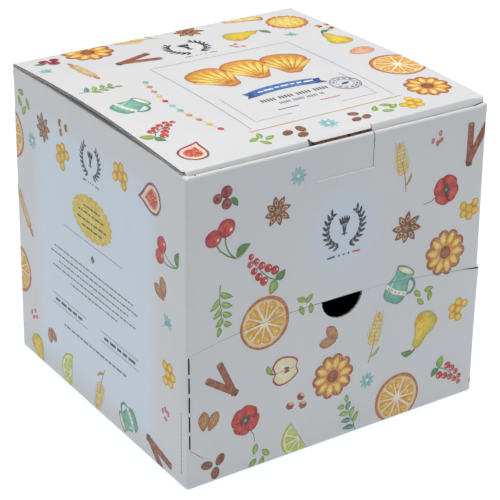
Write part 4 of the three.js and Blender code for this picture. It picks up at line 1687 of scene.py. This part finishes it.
def print_ink():
    """Ink that lies thicker and thinner, as in a painted picture."""
    nodes = Nodes("print_ink")
    place, x, y, z = nodes.axes()
    tone = nodes.add("Attribute", {"attribute_name": "ink"}).outputs["Color"]
    pools = nodes.ramp(nodes.noise(place, 260.0, 4.0, 0.6), 0.35, 0.7)
    thin = nodes.blend(0.08, tone, linear(236, 232, 224))
    deep = nodes.add("HueSaturation", None, Saturation=1.12, Value=0.84, Color=tone).outputs["Color"]
    color = nodes.blend(pools, deep, thin)
    grain = nodes.ramp(nodes.noise(place, 1500.0, 2.0), 0.3, 0.7)
    color = nodes.blend(nodes.maths("MULTIPLY", grain, 0.08), color, linear(240, 238, 232))
    rough = nodes.maths("ADD", 0.38, nodes.maths("MULTIPLY", nodes.noise(place, 60.0), 0.16))
    nodes.bump(paper_height(nodes, place), 0.00003)
    return nodes.finish(color, rough, 0.4)


# Camera, floor and light

PHOTO_SIDE = 500
FOCAL_PIXELS = 1669.5
SENSOR_MM = 36
CAMERA_AZIMUTH = math.radians(-33.947)
CAMERA_ELEVATION = math.radians(25.657)
CAMERA_ROLL = math.radians(0.656)
CAMERA_DISTANCE = 1.244
CAMERA_RIGHT = 0.00503
CAMERA_UP = -0.01556
AIM_HEIGHT = 0.1174


def make_camera():
    across = math.cos(CAMERA_ELEVATION)
    back = Vector((
        math.sin(CAMERA_AZIMUTH) * across,
        -math.cos(CAMERA_AZIMUTH) * across,
        math.sin(CAMERA_ELEVATION),
    ))
    right = Vector((0, 0, 1)).cross(back).normalized()
    up = back.cross(right)
    turn = Matrix.Rotation(CAMERA_ROLL, 3, back)
    right, up = turn @ right, turn @ up
    place = Vector((0, 0, AIM_HEIGHT)) + back * CAMERA_DISTANCE
    place += right * CAMERA_RIGHT + up * CAMERA_UP
    data = bpy.data.cameras.new("camera")
    data.lens = FOCAL_PIXELS * SENSOR_MM / PHOTO_SIDE
    data.sensor_width = SENSOR_MM
    camera = bpy.data.objects.new("camera", data)
    bpy.context.scene.collection.objects.link(camera)
    camera.matrix_world = Matrix.Translation(place) @ Matrix((right, up, back)).transposed().to_4x4()
    bpy.context.scene.camera = camera


FLOOR_GLOW = (0.96, 1.0, 1.04, 1)
BACKDROP_RADIUS = 3.8
BACKDROP_HEIGHT = 3
BACKDROP_SIDES = 96


def make_floor():
    reach = 4
    mesh = bpy.data.meshes.new("floor")
    mesh.from_pydata([(-reach, -reach, 0), (reach, -reach, 0), (reach, reach, 0), (-reach, reach, 0)], [], [(0, 1, 2, 3)])
    nodes = Nodes("floor")
    place = nodes.axes()[0]
    color = nodes.blend(nodes.noise(place, 3.0), linear(166, 169, 171), linear(170, 173, 175))
    nodes.shader.inputs["Emission Color"].default_value = FLOOR_GLOW
    nodes.shader.inputs["Emission Strength"].default_value = 0.74
    mesh.materials.append(nodes.finish(color, 0.9, 0.1))
    floor = bpy.data.objects.new("floor", mesh)
    bpy.context.scene.collection.objects.link(floor)


def make_backdrop():
    """A pale round wall behind the floor's edge, which only closes the view and lights nothing."""
    points = [(BACKDROP_RADIUS * math.cos(math.tau * k / BACKDROP_SIDES),
               BACKDROP_RADIUS * math.sin(math.tau * k / BACKDROP_SIDES), z)
              for z in (0, BACKDROP_HEIGHT) for k in range(BACKDROP_SIDES)]
    faces = []
    for k in range(BACKDROP_SIDES):
        after = (k + 1) % BACKDROP_SIDES
        faces.append((after, k, k + BACKDROP_SIDES, after + BACKDROP_SIDES))
    mesh = bpy.data.meshes.new("backdrop")
    mesh.from_pydata(points, [], faces)
    nodes = Nodes("backdrop")
    color = nodes.blend(nodes.noise(nodes.axes()[0], 3.0), linear(166, 169, 171), linear(170, 173, 175))
    nodes.shader.inputs["Emission Color"].default_value = FLOOR_GLOW
    nodes.shader.inputs["Emission Strength"].default_value = 0.8
    mesh.materials.append(nodes.finish(color, 0.9, 0.1))
    backdrop = bpy.data.objects.new("backdrop", mesh)
    backdrop.visible_diffuse = False
    backdrop.visible_glossy = False
    backdrop.visible_shadow = False
    bpy.context.scene.collection.objects.link(backdrop)


def area_light(name, place, aim, size, power, color):
    data = bpy.data.lights.new(name, "AREA")
    data.size = size
    data.energy = power
    data.color = color
    light = bpy.data.objects.new(name, data)
    light.location = place
    light.rotation_mode = "QUATERNION"
    light.rotation_quaternion = (Vector(aim) - Vector(place)).to_track_quat("-Z", "Y")
    bpy.context.scene.collection.objects.link(light)


def make_light():
    world = bpy.data.worlds.new("world")
    bpy.context.scene.world = world
    world.use_nodes = True
    background = world.node_tree.nodes["Background"]
    background.inputs["Color"].default_value = (0.9, 0.96, 1.0, 1)
    background.inputs["Strength"].default_value = 0.05
    area_light("top_light", (0, 0, 2.2), (0, 0, 0), 1.3, 52, (1.0, 0.99, 0.98))
    area_light("left_light", (-1.6, 0.5, 0.4), (0, 0.1, 0.1), 0.9, 2.6, (0.97, 0.98, 1.0))
    area_light("right_light", (1.3, -0.75, 0.3), (0.1, -0.1, 0.08), 0.7, 2.2, (1.0, 1.0, 0.99))
    bpy.context.scene.view_settings.view_transform = "Standard"


# The whole carton

board_material = printed_board()
raw_material = raw_board()
walls = make_walls(board_material, raw_material, shaded_cut_edge(), painted_shade_inside())
lid = make_lid(board_material, raw_material, shaded_brown_edge())
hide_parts(NODE)
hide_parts(NODE)
make_print()

make_camera()
make_floor()
make_backdrop()
make_light()
